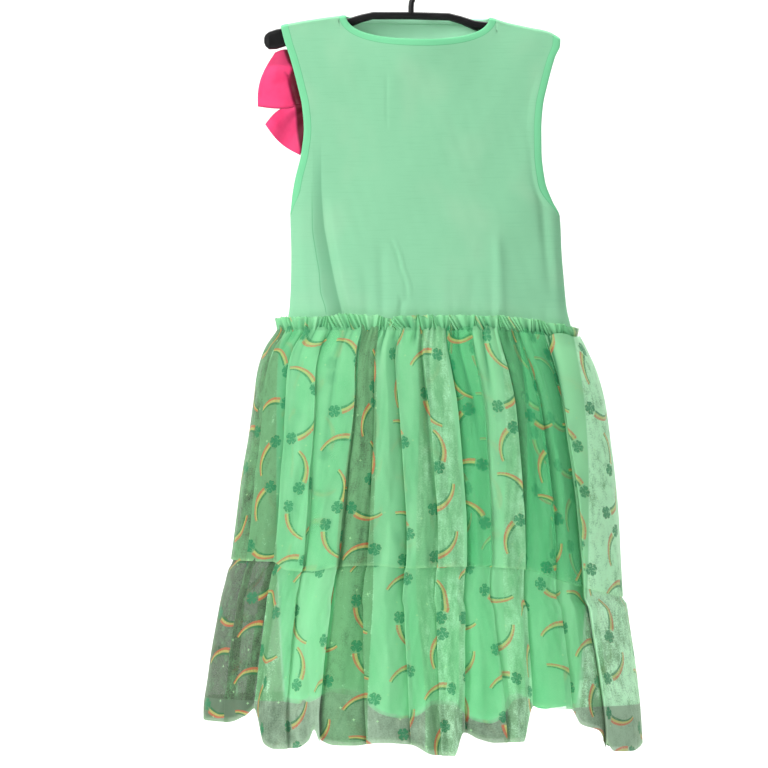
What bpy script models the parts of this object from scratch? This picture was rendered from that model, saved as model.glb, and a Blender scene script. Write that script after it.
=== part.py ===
"""Sleeveless jersey dress with a two-tier tulle skirt, hung on a moulded hanger.

The origin is the inside top of the hanger's hook, where a rail would carry it. +Z is up and the
front of the dress faces -Y. The bow is on the +X shoulder, the wearer's left. Tables are in
millimetres: "down" is measured down from the hook, "bow" towards +X and "far" towards -X.
"across" runs from 0 at the bow side to 1 at the far side, as seen from the front or the back.
"""

import math

import bmesh
import bpy
import numpy as np
from mathutils import Matrix, Vector

MM = 0.001
SEAM_GAP = 0.3

# Wall thicknesses
JERSEY_WALL = 1.2
TULLE_WALL = 1.0
LINING_WALL = 1.2
RIBBON_WALL = 1.2

# Exponent of the flattened oval that the cloth hangs in
OVAL = 2.3

# Columns and rows of a bodice panel
SHOULDER_COLUMNS = 4
NECK_COLUMNS = 12
RIDGE_DROPS = (0.0, 1.2, 3.6, 7.5)
ARMHOLE_STEPS = 7
SIDE_STEPS = 4
ARMHOLE_ROWS = len(RIDGE_DROPS) - 1 + ARMHOLE_STEPS

# Bindings
ARM_BINDING = 8.0
NECK_BINDING = 7.0
BINDING_PROUD = 0.8
BINDING_GAP = 0.7
BINDING_FOOT_RUN = 30.0

# Neck
NECK_MIDDLE = -7.2
NECK_HALF = 78.6
BACK_NECK_DROP = 26.0
FRONT_NECK_DROP = 4.5
NECK_GAPE = 11.0
NECK_GAPE_SPREAD = 52.0
NECK_GAPE_START = 78.0
NECK_GAPE_END = 165.0

# Shoulders and armholes
RIDGE_RADIUS = 7.0
ARMHOLE_FOOT = 285.0
ARMHOLE_FOOT_RISE = 7.0
ARMHOLE_FOOT_BEND = 34.0
ARMHOLE_WIDEN = 0.25
SHOULDER_SLOPE_START = 85.0
SHOULDER_SLOPE_END = 110.0

# Waist
SEAM_DOWN = 409.5
SEAM_EDGE = 0.35
FAR_SEAM_DROP = 9.0
SEAM_DROP_START = 90.0
SEAM_DROP_END = 185.0
HEADING_WAVES = 32
HEADING_HEIGHT = 14.5
HEADING_SEAM_EDGE = 0.75

# Skirt
TIER_LEVEL = 670.0
HEM_LEVEL = 860.0
# Down where the lower tier leaves the upper one's oval: below that tier's hem, which is lowest far
FLARE_SPANS = {"bow": (663.0, 682.0), "far": (703.0, 722.0), "depth": (712.0, 748.0)}
LINING_STEPS = 7
LINING_OPENING_PACE = 0.7

# Hanger
HANGER_TOP = 60.2
HANGER_TILT = 0.0157
HANGER_HALF_THICK = 4.3
HANGER_END = 161.5
HANGER_TAPER_START = 153.0
HANGER_END_TAPER = 0.45
HOOK_INSIDE_RADIUS = 19.0
HOOK_ROD_RADIUS = 3.1
HOOK_STEM_ANGLE = 245
HOOK_SWEEP = 265
HOOK_STEPS = 14

# Bow
KNOT_X = 100.0
KNOT_DOWN = 150.0
KNOT_SIZE = (15.0, 13.0, 22.0)
KNOT_CAGE_GROWTH = 1.22
TAIL_TUCK = 0.5
BOW_CLEAR = 2.2
BOW_STEPS = 6
LOOP_OFFSET = 8.6
LOOP_START_HALF = 9.0
LOOP_TOP_END = (50.0, 46.0)
LOOP_LOW_END = (67.0, -13.5)
LOOP_FOLD_BULGE = 6.5
LOOP_LOW_BULGE = 2.5
LOOP_TOP_BULGE = 12.0
LOOP_LEAST_APART = 4.6
LOOP_MOST_APART = 7.6
LOOP_CREASE = 4.4
TAIL_INNER_START = 1.0
TAIL_OUTER_START = 8.5
TAIL_INNER_END = (22.0, -67.3)
TAIL_OUTER_END = (60.6, -33.2)
TAIL_OFFSET = 2.6
TAIL_SIDE_BULGE = 5.0
TAIL_END_BULGE = 4.5
TAIL_RIPPLE = 2.6
TAIL_WAVES = 1.2


class Table:
    """Rows of named columns, read by a smooth curve through the rows of the first column."""

    def __init__(self, columns, *rows):
        self.columns = columns.split()
        self.rows = rows

    def column(self, name):
        index = self.columns.index(name)
        return [row[index] for row in self.rows]

    def at(self, name, key):
        keys = self.column(self.columns[0])
        values = self.column(name)
        if key <= keys[0]:
            return values[0]
        if key >= keys[-1]:
            return values[-1]
        slopes = [(values[i + 1] - values[i]) / (keys[i + 1] - keys[i]) for i in range(len(keys) - 1)]
        index = next(i for i in range(len(keys) - 1) if key <= keys[i + 1])
        before = slopes[max(index - 1, 0)]
        here = slopes[index]
        after = slopes[min(index + 1, len(slopes) - 1)]
        start = 2 * before * here / (before + here) if before * here > 0 else 0.0
        end = 2 * here * after / (here + after) if here * after > 0 else 0.0
        span = keys[index + 1] - keys[index]
        t = (key - keys[index]) / span
        return (
            values[index] * (2 * t**3 - 3 * t**2 + 1)
            + span * start * (t**3 - 2 * t**2 + t)
            + values[index + 1] * (3 * t**2 - 2 * t**3)
            + span * end * (t**3 - t**2)
        )


BODICE = Table(
    "down bow far depth",
    (76, 143.0, 164.5, 9.5),
    (95, 138.0, 163.5, 12.5),
    (112, 132.5, 157.5, 14.5),
    (141, 124.8, 149.6, 17.5),
    (165, 119.6, 144.6, 19.5),
    (189, 117.7, 143.0, 21.5),
    (215, 120.5, 143.3, 23.0),
    (247, 128.0, 147.2, 25.0),
    (268, 131.2, 155.1, 26.0),
    (285, 132.0, 163.0, 27.0),
    (325, 131.0, 165.0, 30.0),
    (352, 131.3, 167.2, 33.0),
    (386, 133.0, 170.5, 37.0),
    (409, 138.0, 176.0, 40.0),
)

SHOULDER = Table(
    "x down",
    (-164, 90.0),
    (-150, 82.2),
    (-128, 77.6),
    (-103, 72.0),
    (-86, 66.8),
    (0, 60.0),
    (71, 64.4),
    (110, 69.4),
    (143, 75.4),
)

UPPER = Table(
    "down bow far depth",
    (410, 147.4, 182.6, 46.0),
    (432, 161.7, 194.0, 58.0),
    (457, 169.4, 205.0, 66.0),
    (491, 173.8, 214.0, 72.0),
    (530, 179.3, 219.5, 77.5),
    (568, 186.0, 224.4, 82.5),
    (618, 192.5, 229.0, 88.0),
    (660, 198.0, 231.0, 92.0),
    (704, 206.0, 233.5, 95.0),
)

LOWER_FLARE = Table(
    "down bow far depth",
    (664, 199.5, 231.5, 92.5),
    (685, 204.0, 234.0, 94.0),
    (704, 209.0, 237.0, 95.0),
    (732, 214.3, 240.5, 98.0),
    (763, 219.9, 245.3, 101.0),
    (793, 224.0, 249.3, 103.0),
    (828, 228.6, 253.0, 105.0),
    (877, 227.5, 256.0, 107.0),
)

LINING = Table(
    "down bow far depth",
    (410, 140.0, 177.0, 41.8),
    (440, 145.5, 182.5, 45.0),
    (491, 147.0, 190.0, 49.0),
    (568, 147.0, 194.0, 54.0),
    (650, 146.5, 193.5, 58.0),
    (720, 144.5, 191.0, 60.0),
    (780, 141.0, 187.5, 61.5),
    (840, 136.5, 180.5, 62.0),
)

# How far each gathered fold has opened, by its distance below the seam
OPENING_OUT = Table("below share", (0, 0.06), (12, 0.26), (30, 0.55), (60, 0.82), (110, 1.0))

# Distance between the tiers, by the distance below the seam
TIER_SPACE = Table("below space", (0, 1.7), (15, 2.8), (40, 4.5), (400, 4.5))

TULLE_FOLDS_BACK = Table(
    "top tier hem tier_depth hem_depth",
    (0.030, 0.040, 0.050, 7, 8),
    (0.090, 0.118, 0.124, 12, 14),
    (0.170, 0.185, 0.190, 8, 6),
    (0.283, 0.269, 0.262, 15, 13),
    (0.345, 0.350, 0.372, 6, 9),
    (0.410, 0.455, 0.475, 14, 12),
    (0.490, 0.530, 0.540, 5, 5),
    (0.563, 0.596, 0.589, 14, 16),
    (0.650, 0.665, 0.687, 6, 9),
    (0.735, 0.750, 0.745, 9, 15),
    (0.805, 0.830, 0.838, 8, 12),
    (0.885, 0.908, 0.922, 15, 16),
)

TULLE_FOLDS_FRONT = Table(
    "top tier hem tier_depth hem_depth",
    (0.040, 0.045, 0.055, 8, 9),
    (0.115, 0.100, 0.095, 13, 12),
    (0.200, 0.215, 0.230, 7, 10),
    (0.270, 0.300, 0.320, 14, 15),
    (0.360, 0.385, 0.395, 8, 6),
    (0.430, 0.450, 0.470, 12, 14),
    (0.520, 0.515, 0.530, 6, 8),
    (0.600, 0.610, 0.625, 15, 14),
    (0.680, 0.700, 0.705, 7, 9),
    (0.765, 0.780, 0.790, 13, 12),
    (0.850, 0.860, 0.850, 7, 9),
    (0.930, 0.925, 0.930, 12, 14),
)

# Rows of each tier's panels: closest where the gathers open, and where the lower one leaves the upper
UPPER_ROWS = (0, 0.05, 0.13, 0.26, 0.43, 0.62, 0.81, 1)
LOWER_ROWS = (0, 0.035, 0.09, 0.2, 0.4, 0.555, 0.63, 0.685, 0.82, 1)

LINING_FOLDS_BACK = Table(
    "top hem depth",
    (0.030, 0.069, 13),
    (0.275, 0.203, 24),
    (0.395, 0.375, 5),
    (0.513, 0.541, 20),
    (0.650, 0.680, 6),
    (0.778, 0.796, 16),
    (0.920, 0.930, 8),
)

LINING_FOLDS_FRONT = Table(
    "top hem depth",
    (0.070, 0.060, 9),
    (0.210, 0.180, 20),
    (0.340, 0.360, 6),
    (0.500, 0.490, 22),
    (0.640, 0.660, 7),
    (0.790, 0.810, 18),
    (0.930, 0.925, 9),
)

UPPER_HEM_BACK = Table(
    "across down", (0.0, 662), (0.11, 661), (0.15, 669), (0.50, 672), (0.74, 675), (0.86, 689), (1.0, 703)
)
UPPER_HEM_FRONT = Table(
    "across down", (0.0, 662), (0.11, 665), (0.24, 690), (0.45, 697), (0.70, 696), (1.0, 703)
)

LOWER_HEM_BACK = Table(
    "across down",
    (0.000, 838),
    (0.050, 838),
    (0.096, 830),
    (0.118, 821),
    (0.140, 859),
    (0.165, 865),
    (0.215, 863),
    (0.240, 855),
    (0.253, 843),
    (0.266, 855),
    (0.300, 860),
    (0.345, 860),
    (0.400, 857),
    (0.470, 859),
    (0.522, 870),
    (0.567, 871),
    (0.592, 846),
    (0.625, 853),
    (0.660, 857),
    (0.726, 856),
    (0.752, 818),
    (0.800, 821),
    (0.843, 822),
    (0.858, 838),
    (0.900, 846),
    (0.932, 869),
    (0.976, 870),
    (1.000, 864),
)
LOWER_HEM_FRONT = Table(
    "across down",
    (0.000, 838),
    (0.060, 840),
    (0.095, 834),
    (0.113, 826),
    (0.133, 865),
    (0.160, 873),
    (0.205, 872),
    (0.236, 864),
    (0.249, 853),
    (0.262, 865),
    (0.300, 870),
    (0.345, 871),
    (0.400, 868),
    (0.467, 870),
    (0.515, 880),
    (0.570, 882),
    (0.595, 857),
    (0.620, 862),
    (0.655, 867),
    (0.733, 866),
    (0.760, 826),
    (0.830, 828),
    (0.855, 831),
    (0.873, 846),
    (0.906, 851),
    (0.937, 872),
    (0.980, 872),
    (1.000, 864),
)

LINING_HEM_BACK = Table(
    "across down", (0.0, 812), (0.075, 802), (0.20, 818), (0.36, 828), (0.60, 834), (0.80, 832), (1.0, 820)
)
LINING_HEM_FRONT = Table("across down", (0.0, 812), (0.30, 822), (0.60, 828), (1.0, 820))

# Rows of the gathered heading, from its free edge to the seam
HEADING_ROWS = Table("lift lean depth", (1.0, 1.8, 4.0), (0.5, 0.8, 3.4), (0.0, 0.2, 2.0))

HANGER = Table(
    "out drop height",
    (0, 0.0, 8.5),
    (42, 0.6, 8.5),
    (70, 8.4, 11.0),
    (88, 10.4, 13.5),
    (110, 14.4, 16.5),
    (130, 18.0, 19.5),
    (148, 21.4, 22.0),
    (156, 24.2, 19.5),
    (160, 27.4, 13.0),
    (HANGER_END, 31.0, 5.5),
)

MINT = (0.30, 0.70, 0.42, 1.0)
TULLE_GREEN = (0.22, 0.52, 0.30, 1.0)
LINING_GREEN = (0.20, 0.72, 0.34, 1.0)
PINK = (0.90, 0.07, 0.20, 1.0)
BLACK = (0.012, 0.012, 0.013, 1.0)


def smoothstep(low, high, value):
    t = min(max((value - low) / (high - low), 0.0), 1.0)
    return t * t * (3 - 2 * t)


def material(name, colour, roughness):
    made = bpy.data.materials.new(name)
    made.use_nodes = True
    shader = made.node_tree.nodes["Principled BSDF"]
    shader.inputs["Base Color"].default_value = colour
    shader.inputs["Roughness"].default_value = roughness
    shader.inputs["Metallic"].default_value = 0.0
    made.diffuse_color = colour
    return made


def add_object(name, mesh, finish, collection, sharp_degrees=50):
    mesh.materials.append(finish)
    obj = bpy.data.objects.new(name, mesh)
    collection.objects.link(obj)
    mesh.shade_smooth()
    mesh.set_sharp_from_angle(angle=math.radians(sharp_degrees))
    return obj


def sheet(name, grid, wall, finish, collection):
    """An open cloth surface through a grid of points, given its wall on the inner side."""
    rows = len(grid)
    columns = len(grid[0])
    points = [Vector(point) * MM for row in grid for point in row]
    faces = [
        (r * columns + c, r * columns + c + 1, (r + 1) * columns + c + 1, (r + 1) * columns + c)
        for r in range(rows - 1)
        for c in range(columns - 1)
    ]
    mesh = bpy.data.meshes.new(name)
    mesh.from_pydata(points, [], faces)
    obj = add_object(name, mesh, finish, collection)
    thick = obj.modifiers.new("wall", "SOLIDIFY")
    thick.thickness = wall * MM
    thick.offset = -1.0
    return obj


def loft(name, sections, closed, finish, collection):
    """A closed body through equal rings of points: a ring of rings, or a tube with end caps."""
    count = len(sections[0])
    points = [Vector(point) * MM for section in sections for point in section]
    total = len(sections)
    faces = []
    for s in range(total if closed else total - 1):
        for c in range(count):
            a = s * count + c
            b = s * count + (c + 1) % count
            after = ((s + 1) % total) * count
            faces.append((a, b, after + (c + 1) % count, after + c))
    if not closed:
        faces.append(tuple(reversed(range(count))))
        faces.append(tuple((total - 1) * count + c for c in range(count)))
    mesh = bpy.data.meshes.new(name)
    mesh.from_pydata(points, [], faces)
    shape = bmesh.new()
    shape.from_mesh(mesh)
    bmesh.ops.recalc_face_normals(shape, faces=shape.faces)
    shape.to_mesh(mesh)
    shape.free()
    return add_object(name, mesh, finish, collection)


# Bodice surface


def bodice_middle(down):
    return 0.5 * (BODICE.at("bow", max(down, ARMHOLE_FOOT)) - BODICE.at("far", max(down, ARMHOLE_FOOT)))


def bodice_half(down):
    """Half width of the whole body's oval, which runs on past the armholes."""
    foot = max(down, ARMHOLE_FOOT)
    half = 0.5 * (BODICE.at("bow", foot) + BODICE.at("far", foot))
    return half + ARMHOLE_WIDEN * max(ARMHOLE_FOOT - down, 0.0)


def neck_line(x, drop, grow):
    """Down of the neck edge at x, or None past its ends. grow moves the edge out from the neck."""
    t = (x - NECK_MIDDLE) / (NECK_HALF + grow)
    if abs(t) >= 1:
        return None
    return SHOULDER.at("down", x) + (drop + grow) * math.sqrt(1 - t * t)


def bodice_depth(x, down):
    """Distance of the cloth's outer face from the shoulder seam's plane."""
    across = min(abs(x - bodice_middle(down)) / bodice_half(down), 1.0)
    oval = (1 - across**OVAL) ** (1 / OVAL)
    depth = BODICE.at("depth", down) * oval
    gape = NECK_GAPE * math.exp(-(((x - NECK_MIDDLE) / NECK_GAPE_SPREAD) ** 2))
    depth += gape * (1 - smoothstep(NECK_GAPE_START, NECK_GAPE_END, down))
    below_ridge = min(max(down - SHOULDER.at("down", x), 0.0) / RIDGE_RADIUS, 1.0)
    return depth * math.sqrt(1 - (1 - below_ridge) ** 2)


def bodice_point(side, x, down):
    """A point on the bodice's outer face. side is 1 on the back and -1 on the front."""
    return Vector((x, side * max(bodice_depth(x, down), 0.5 * SEAM_GAP), -down))


def bodice_normal(side, x, down):
    step = 1.0
    along_x = bodice_point(side, x + step, down) - bodice_point(side, x - step, down)
    along_z = bodice_point(side, x, down - step) - bodice_point(side, x, down + step)
    normal = along_z.cross(along_x) * side
    return normal.normalized()


def seam_down(x):
    return SEAM_DOWN + FAR_SEAM_DROP * smoothstep(SEAM_DROP_START, SEAM_DROP_END, -x)


def armhole_edge(sign, down):
    """x of the bound edge, which is the side seam below the armhole."""
    return BODICE.at("bow", down) if sign > 0 else -BODICE.at("far", down)


def panel_edge(sign, down):
    """x of the jersey's own edge, where the binding starts."""
    inset = ARM_BINDING * (1 - smoothstep(ARMHOLE_FOOT - BINDING_FOOT_RUN, ARMHOLE_FOOT, down))
    return armhole_edge(sign, down) - sign * inset


def column_shares(side_columns, neck_columns):
    """Shares from -1 at the far edge to 1 at the bow edge, with a column at each neck end."""
    shares = []
    for sign in (-1, 1):
        x = NECK_MIDDLE + sign * (NECK_HALF + NECK_BINDING)
        down = SHOULDER.at("down", x)
        low = panel_edge(-1, down)
        high = panel_edge(1, down)
        shares.append(2 * (x - low) / (high - low) - 1)
    far, bow = shares
    quarter = [math.sin(0.5 * math.pi * k / side_columns) for k in range(side_columns + 1)]
    left = [far - (far + 1) * q for q in reversed(quarter)]
    right = [bow + (1 - bow) * q for q in quarter]
    turn = [math.sin(math.pi * (k / neck_columns - 0.5)) for k in range(1, neck_columns)]
    middle = [0.5 * (far + bow) + 0.5 * (bow - far) * t for t in turn]
    return left, middle, right


def share_x(share, down):
    low = panel_edge(-1, down)
    high = panel_edge(1, down)
    return low + (high - low) * 0.5 * (share + 1)


def column_top(share, in_neck, drop):
    """x and down where a column starts, on the shoulder or at the neck binding's lower edge."""
    down = 80.0
    for _ in range(12):
        x = share_x(share, down)
        edge = neck_line(x, drop, NECK_BINDING) if in_neck else None
        target = SHOULDER.at("down", x) if edge is None else edge + SEAM_GAP
        down += 0.7 * (target - down)
    return down


def panel_rows(top, foot):
    """Downs of one column: over the shoulder's ridge, along the armhole and to the waist."""
    rows = [top + drop for drop in RIDGE_DROPS]
    start = rows[-1]
    rows += [start + (ARMHOLE_FOOT - start) * k / ARMHOLE_STEPS for k in range(1, ARMHOLE_STEPS + 1)]
    rows += [ARMHOLE_FOOT + (foot - ARMHOLE_FOOT) * k / SIDE_STEPS for k in range(1, SIDE_STEPS + 1)]
    return rows


def bodice_panel(name, side, neck_drop, finish, collection):
    """Builds one panel and returns its columns of points, from the far edge to the bow edge."""
    left, middle, right = column_shares(SHOULDER_COLUMNS, NECK_COLUMNS)
    columns = [(s, False) for s in left] + [(s, True) for s in middle] + [(s, False) for s in right]
    lines = []
    for share, in_neck in columns:
        top = column_top(share, in_neck, neck_drop)
        foot_x = share_x(share, SEAM_DOWN)
        rows = panel_rows(top, seam_down(foot_x) - SEAM_GAP)
        lines.append([bodice_point(side, share_x(share, down), down) for down in rows])
    grid = list(zip(*(reversed(lines) if side > 0 else lines)))
    sheet(name, grid, JERSEY_WALL, finish, collection)
    return lines


BINDING_SECTION = (
    (0.0, -0.85),
    (0.0, 0.3),
    (0.25, BINDING_PROUD),
    (0.80, BINDING_PROUD),
    (1.0, 0.1),
    (1.0, -0.9),
    (0.80, -JERSEY_WALL - 0.1),
)


def binding_sections(stops, closed):
    """Sections of a folded strip, from stops of panel edge point, bound edge point and normal."""
    total = len(stops)
    sections = []
    for index, (inner, outer, normal) in enumerate(stops):
        after = stops[(index + 1) % total if closed else min(index + 1, total - 1)][0]
        before = stops[(index - 1) % total if closed else max(index - 1, 0)][0]
        along = (after - before).normalized()
        out = outer - inner
        start = inner + (out - along * out.dot(along)).normalized() * BINDING_GAP
        reach = outer - start
        sections.append([start + reach * share + normal * height for share, height in BINDING_SECTION])
    return sections


def armhole_binding(name, sign, back_lines, front_lines, finish, collection):
    """A ring that follows both panels' edge points from the shoulder to the side seam."""
    edge = -1 if sign > 0 else 0
    rings = []
    for side, lines in ((1, back_lines), (-1, front_lines)):
        ring = []
        for inner in lines[edge][: ARMHOLE_ROWS + 1]:
            down = -inner.z
            rise = ARMHOLE_FOOT_RISE * smoothstep(ARMHOLE_FOOT - ARMHOLE_FOOT_BEND, ARMHOLE_FOOT, down)
            outer_x = armhole_edge(sign, down - rise)
            shoulder_fall = SHOULDER.at("down", outer_x) - SHOULDER.at("down", inner.x)
            level = 1 - smoothstep(SHOULDER_SLOPE_START, SHOULDER_SLOPE_END, down)
            outer_down = down - rise + shoulder_fall * level
            outer = bodice_point(side, outer_x, outer_down)
            middle_x = outer_x - sign * 0.5 * ARM_BINDING
            normal = bodice_normal(side, middle_x, max(outer_down, SHOULDER.at("down", outer_x) + 2))
            ring.append((inner, outer, normal))
        # The last stop but one is half turned towards the arm, where both sides meet
        inner, outer, normal = ring[-2]
        ring[-2] = (inner, outer, (normal + Vector((sign, 0, 0))).normalized())
        rings.append(ring)
    back, front = rings
    for shared, normal in ((0, Vector((0, 0, 1))), (-1, Vector((sign, 0, 0)))):
        inner = 0.5 * (back[shared][0] + front[shared][0])
        outer = 0.5 * (back[shared][1] + front[shared][1])
        back[shared] = (inner, outer, normal)
    loop = back + front[-2:0:-1]
    loft(name, binding_sections(loop, True), True, finish, collection)


def neck_binding(name, side, neck_drop, lines, finish, collection):
    """A strip along the top points of a panel's neck columns, ending at the shoulder seams."""
    stops = []
    neck_lines = lines[SHOULDER_COLUMNS : SHOULDER_COLUMNS + NECK_COLUMNS + 1]
    for index, line in enumerate(neck_lines):
        inner = line[0]
        at_end = index in (0, NECK_COLUMNS)
        turn = (inner.x - NECK_MIDDLE) / (NECK_HALF + NECK_BINDING)
        outer_x = NECK_MIDDLE + NECK_HALF * (round(turn) if at_end else turn)
        edge = neck_line(outer_x, neck_drop, 0.0)
        outer = bodice_point(side, outer_x, SHOULDER.at("down", outer_x) if at_end else edge)
        normal = Vector((0, 0, 1)) if at_end else bodice_normal(side, 0.5 * (inner.x + outer_x), -inner.z)
        stops.append((inner, outer, normal))
    loft(name, binding_sections(stops, False), False, finish, collection)


# Skirt


def oval_point(profile, side, across, down, inset=0.0, clear=SEAM_EDGE):
    """A point on a skirt layer's oval, moved in along its normal and kept clear of the side seam."""
    bow = profile("bow", down)
    far = profile("far", down)
    depth = profile("depth", down)
    half = 0.5 * (bow + far)
    middle = 0.5 * (bow - far)
    u = 1 - 2 * across
    v = max(1 - abs(u) ** OVAL, 0.0) ** (1 / OVAL)
    normal = Vector((math.copysign(abs(u) ** (OVAL - 1) / half, u), side * v ** (OVAL - 1) / depth))
    normal.normalize()
    x = middle + half * u - normal.x * inset
    y = side * depth * v - normal.y * inset
    return Vector((x, side * max(side * y, clear), -down))


def even_across(profile, side, down, count):
    """Across values at equal distances along a layer's oval."""
    fine = [0.5 - 0.5 * math.cos(math.pi * k / 400) for k in range(401)]
    points = [oval_point(profile, side, across, down) for across in fine]
    lengths = np.cumsum([0.0] + [(b - a).length for a, b in zip(points, points[1:])])
    return list(np.interp(np.linspace(0, lengths[-1], count), lengths, fine))


def fold_columns(valleys):
    """Phases and across positions: ridge, slope, valley, slope for each fold, and the last ridge.

    A column close to each end keeps the wall square to the side seam.
    """
    folds = len(valleys)
    stops = [0.0] + list(valleys) + [1.0]
    phases = [0.0] + [k + 0.5 for k in range(folds)] + [float(folds)]
    wanted = [0.0, 0.02] + [k / 4 for k in range(1, 4 * folds)] + [folds - 0.02, float(folds)]
    return wanted, list(np.interp(wanted, phases, stops))


def fold_depth(depths, phase):
    index = min(int(phase), len(depths) - 1)
    return depths[index] * 0.5 * (1 - math.cos(2 * math.pi * phase))


def tier_profile(column, down):
    return UPPER.at(column, down)


def lower_profile(column, down):
    """The upper tier's oval moved in, which opens out below that tier's hem."""
    space = TIER_SPACE.at("space", down - SEAM_DOWN)
    under = UPPER.at(column, down) - space
    share = smoothstep(*FLARE_SPANS[column], down)
    return under * (1 - share) + LOWER_FLARE.at(column, down) * share


def lining_profile(column, down):
    return LINING.at(column, down)


def tulle_tier(name, side, profile, folds, hem, shares, finish, collection):
    """One gathered panel. shares are its rows, from 0 at the seam to 1 at the hem."""
    grid = []
    for share in shares:
        line = []
        level = SEAM_DOWN + (hem.at("down", 0.5) - SEAM_DOWN) * share
        toward_tier = smoothstep(SEAM_DOWN, TIER_LEVEL, level)
        toward_hem = smoothstep(TIER_LEVEL, HEM_LEVEL, level)
        rows = zip(folds.column("top"), folds.column("tier"), folds.column("hem"))
        valleys = [a + (b - a) * toward_tier + (c - b) * toward_hem for a, b, c in rows]
        pairs = zip(folds.column("tier_depth"), folds.column("hem_depth"))
        depths = [a + (b - a) * toward_hem for a, b in pairs]
        phases, places = fold_columns(valleys)
        for phase, across in zip(phases, places):
            x = oval_point(profile, side, across, level).x
            top = seam_down(x) + SEAM_GAP
            down = top + (hem.at("down", across) - top) * share
            inset = fold_depth(depths, phase) * OPENING_OUT.at("share", down - top)
            line.append(oval_point(profile, side, across, down, inset))
        grid.append(line if side < 0 else list(reversed(line)))
    sheet(name, grid, TULLE_WALL, finish, collection)


def lining_panel(name, side, folds, hem, finish, collection):
    grid = []
    for row in range(LINING_STEPS + 1):
        share = row / LINING_STEPS
        rows = zip(folds.column("top"), folds.column("hem"))
        valleys = [a + (b - a) * share for a, b in rows]
        phases, places = fold_columns(valleys)
        line = []
        for phase, across in zip(phases, places):
            level = SEAM_DOWN + (hem.at("down", 0.5) - SEAM_DOWN) * share
            top = seam_down(oval_point(lining_profile, side, across, level).x) + SEAM_GAP
            down = top + (hem.at("down", across) - top) * share
            opening = OPENING_OUT.at("share", LINING_OPENING_PACE * (down - top))
            inset = fold_depth(folds.column("depth"), phase) * opening
            line.append(oval_point(lining_profile, side, across, down, inset))
        grid.append(line if side < 0 else list(reversed(line)))
    sheet(name, grid, LINING_WALL, finish, collection)


def waist_heading(name, side, finish, collection):
    """The tulle's gathered upper edge, standing above the seam."""
    columns = even_across(tier_profile, side, SEAM_DOWN, 4 * HEADING_WAVES + 1)
    grid = []
    for lift, lean, depth in HEADING_ROWS.rows:
        line = []
        for index, across in enumerate(columns):
            uneven = 1 + 0.22 * math.sin(0.61 * index) + 0.14 * math.sin(0.23 * index + 1)
            inset = 0.5 * depth * (1 - math.cos(0.5 * math.pi * index)) * (0.86 + 0.14 * uneven)
            x = oval_point(tier_profile, side, across, SEAM_DOWN).x
            point = oval_point(tier_profile, side, across, SEAM_DOWN, inset - lean, HEADING_SEAM_EDGE)
            rise = SEAM_GAP + HEADING_HEIGHT * lift * (0.9 + 0.1 * uneven)
            line.append((point.x, point.y, rise - seam_down(x)))
        grid.append(line if side < 0 else list(reversed(line)))
    sheet(name, grid, TULLE_WALL, finish, collection)


# Bow


def bow_front(x, down):
    """y just in front of the bodice's front, carried on flat past the armhole."""
    inside = min(x, panel_edge(1, down) - 2)
    return -bodice_depth(inside, down) - BOW_CLEAR


def bow_loop(name, sign, finish, collection):
    """A ribbon folded back to the knot: top and bottom edges fan out to the fold."""
    start = 0.5 * KNOT_SIZE[0] + SEAM_GAP
    top_start, top_end = Vector((start, LOOP_START_HALF)), Vector(LOOP_TOP_END)
    bottom_start, bottom_end = Vector((start, -LOOP_START_HALF)), Vector(LOOP_LOW_END)
    rest = bow_front(KNOT_X + 4, KNOT_DOWN) - LOOP_OFFSET
    grid = []
    for p in range(2 * BOW_STEPS + 1):
        turn = math.pi * p / (2 * BOW_STEPS)
        out = math.sin(turn) ** 0.75 if 0 < p < 2 * BOW_STEPS else 0.0
        leaf = (p < BOW_STEPS) - (p > BOW_STEPS)
        apart = LOOP_LEAST_APART + LOOP_MOST_APART * math.sin(math.pi * min(out, 0.92)) ** 0.8
        line = []
        for w in range(BOW_STEPS + 1):
            v = w / BOW_STEPS
            low = bottom_start + (bottom_end - bottom_start) * out
            high = top_start + (top_end - top_start) * out
            place = low + (high - low) * v
            place.x += LOOP_FOLD_BULGE * math.sin(math.pi * v) * out
            place.y += (LOOP_TOP_BULGE * v - LOOP_LOW_BULGE * (1 - v)) * math.sin(math.pi * out)
            crease = LOOP_CREASE * math.cos(2 * math.pi * (v - 0.1)) * (1 - out) * out
            y = rest + leaf * 0.5 * apart * (0.65 + 0.35 * math.sin(math.pi * v)) + crease
            line.append((KNOT_X + sign * place.x, y, place.y - KNOT_DOWN))
        grid.append(line if sign > 0 else list(reversed(line)))
    sheet(name, grid, RIBBON_WALL, finish, collection)


def bow_tail(name, sign, finish, collection):
    """A cut end that fans out down from under the knot."""
    knot_foot = 0.5 * KNOT_SIZE[2] - TAIL_TUCK
    inner_start, inner_end = Vector((TAIL_INNER_START, -knot_foot)), Vector(TAIL_INNER_END)
    outer_start, outer_end = Vector((TAIL_OUTER_START, -knot_foot)), Vector(TAIL_OUTER_END)
    grid = []
    for k in range(BOW_STEPS + 1):
        along = k / BOW_STEPS
        inner = inner_start + (inner_end - inner_start) * along
        outer = outer_start + (outer_end - outer_start) * along
        line = []
        for w in range(BOW_STEPS + 1):
            across = w / BOW_STEPS
            place = inner + (outer - inner) * across
            place += Vector((0.6, 0.8)) * TAIL_SIDE_BULGE * across * math.sin(math.pi * along)
            place += Vector((0.7, -0.7)) * TAIL_END_BULGE * along * math.sin(math.pi * across)
            x = KNOT_X + sign * place.x
            down = KNOT_DOWN - place.y
            ripple = TAIL_RIPPLE * along * (1 - math.cos(TAIL_WAVES * 2 * math.pi * across))
            line.append((x, bow_front(x, down) - TAIL_OFFSET - ripple, -down))
        grid.append(line if sign < 0 else list(reversed(line)))
    sheet(name, grid, RIBBON_WALL, finish, collection)


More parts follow.
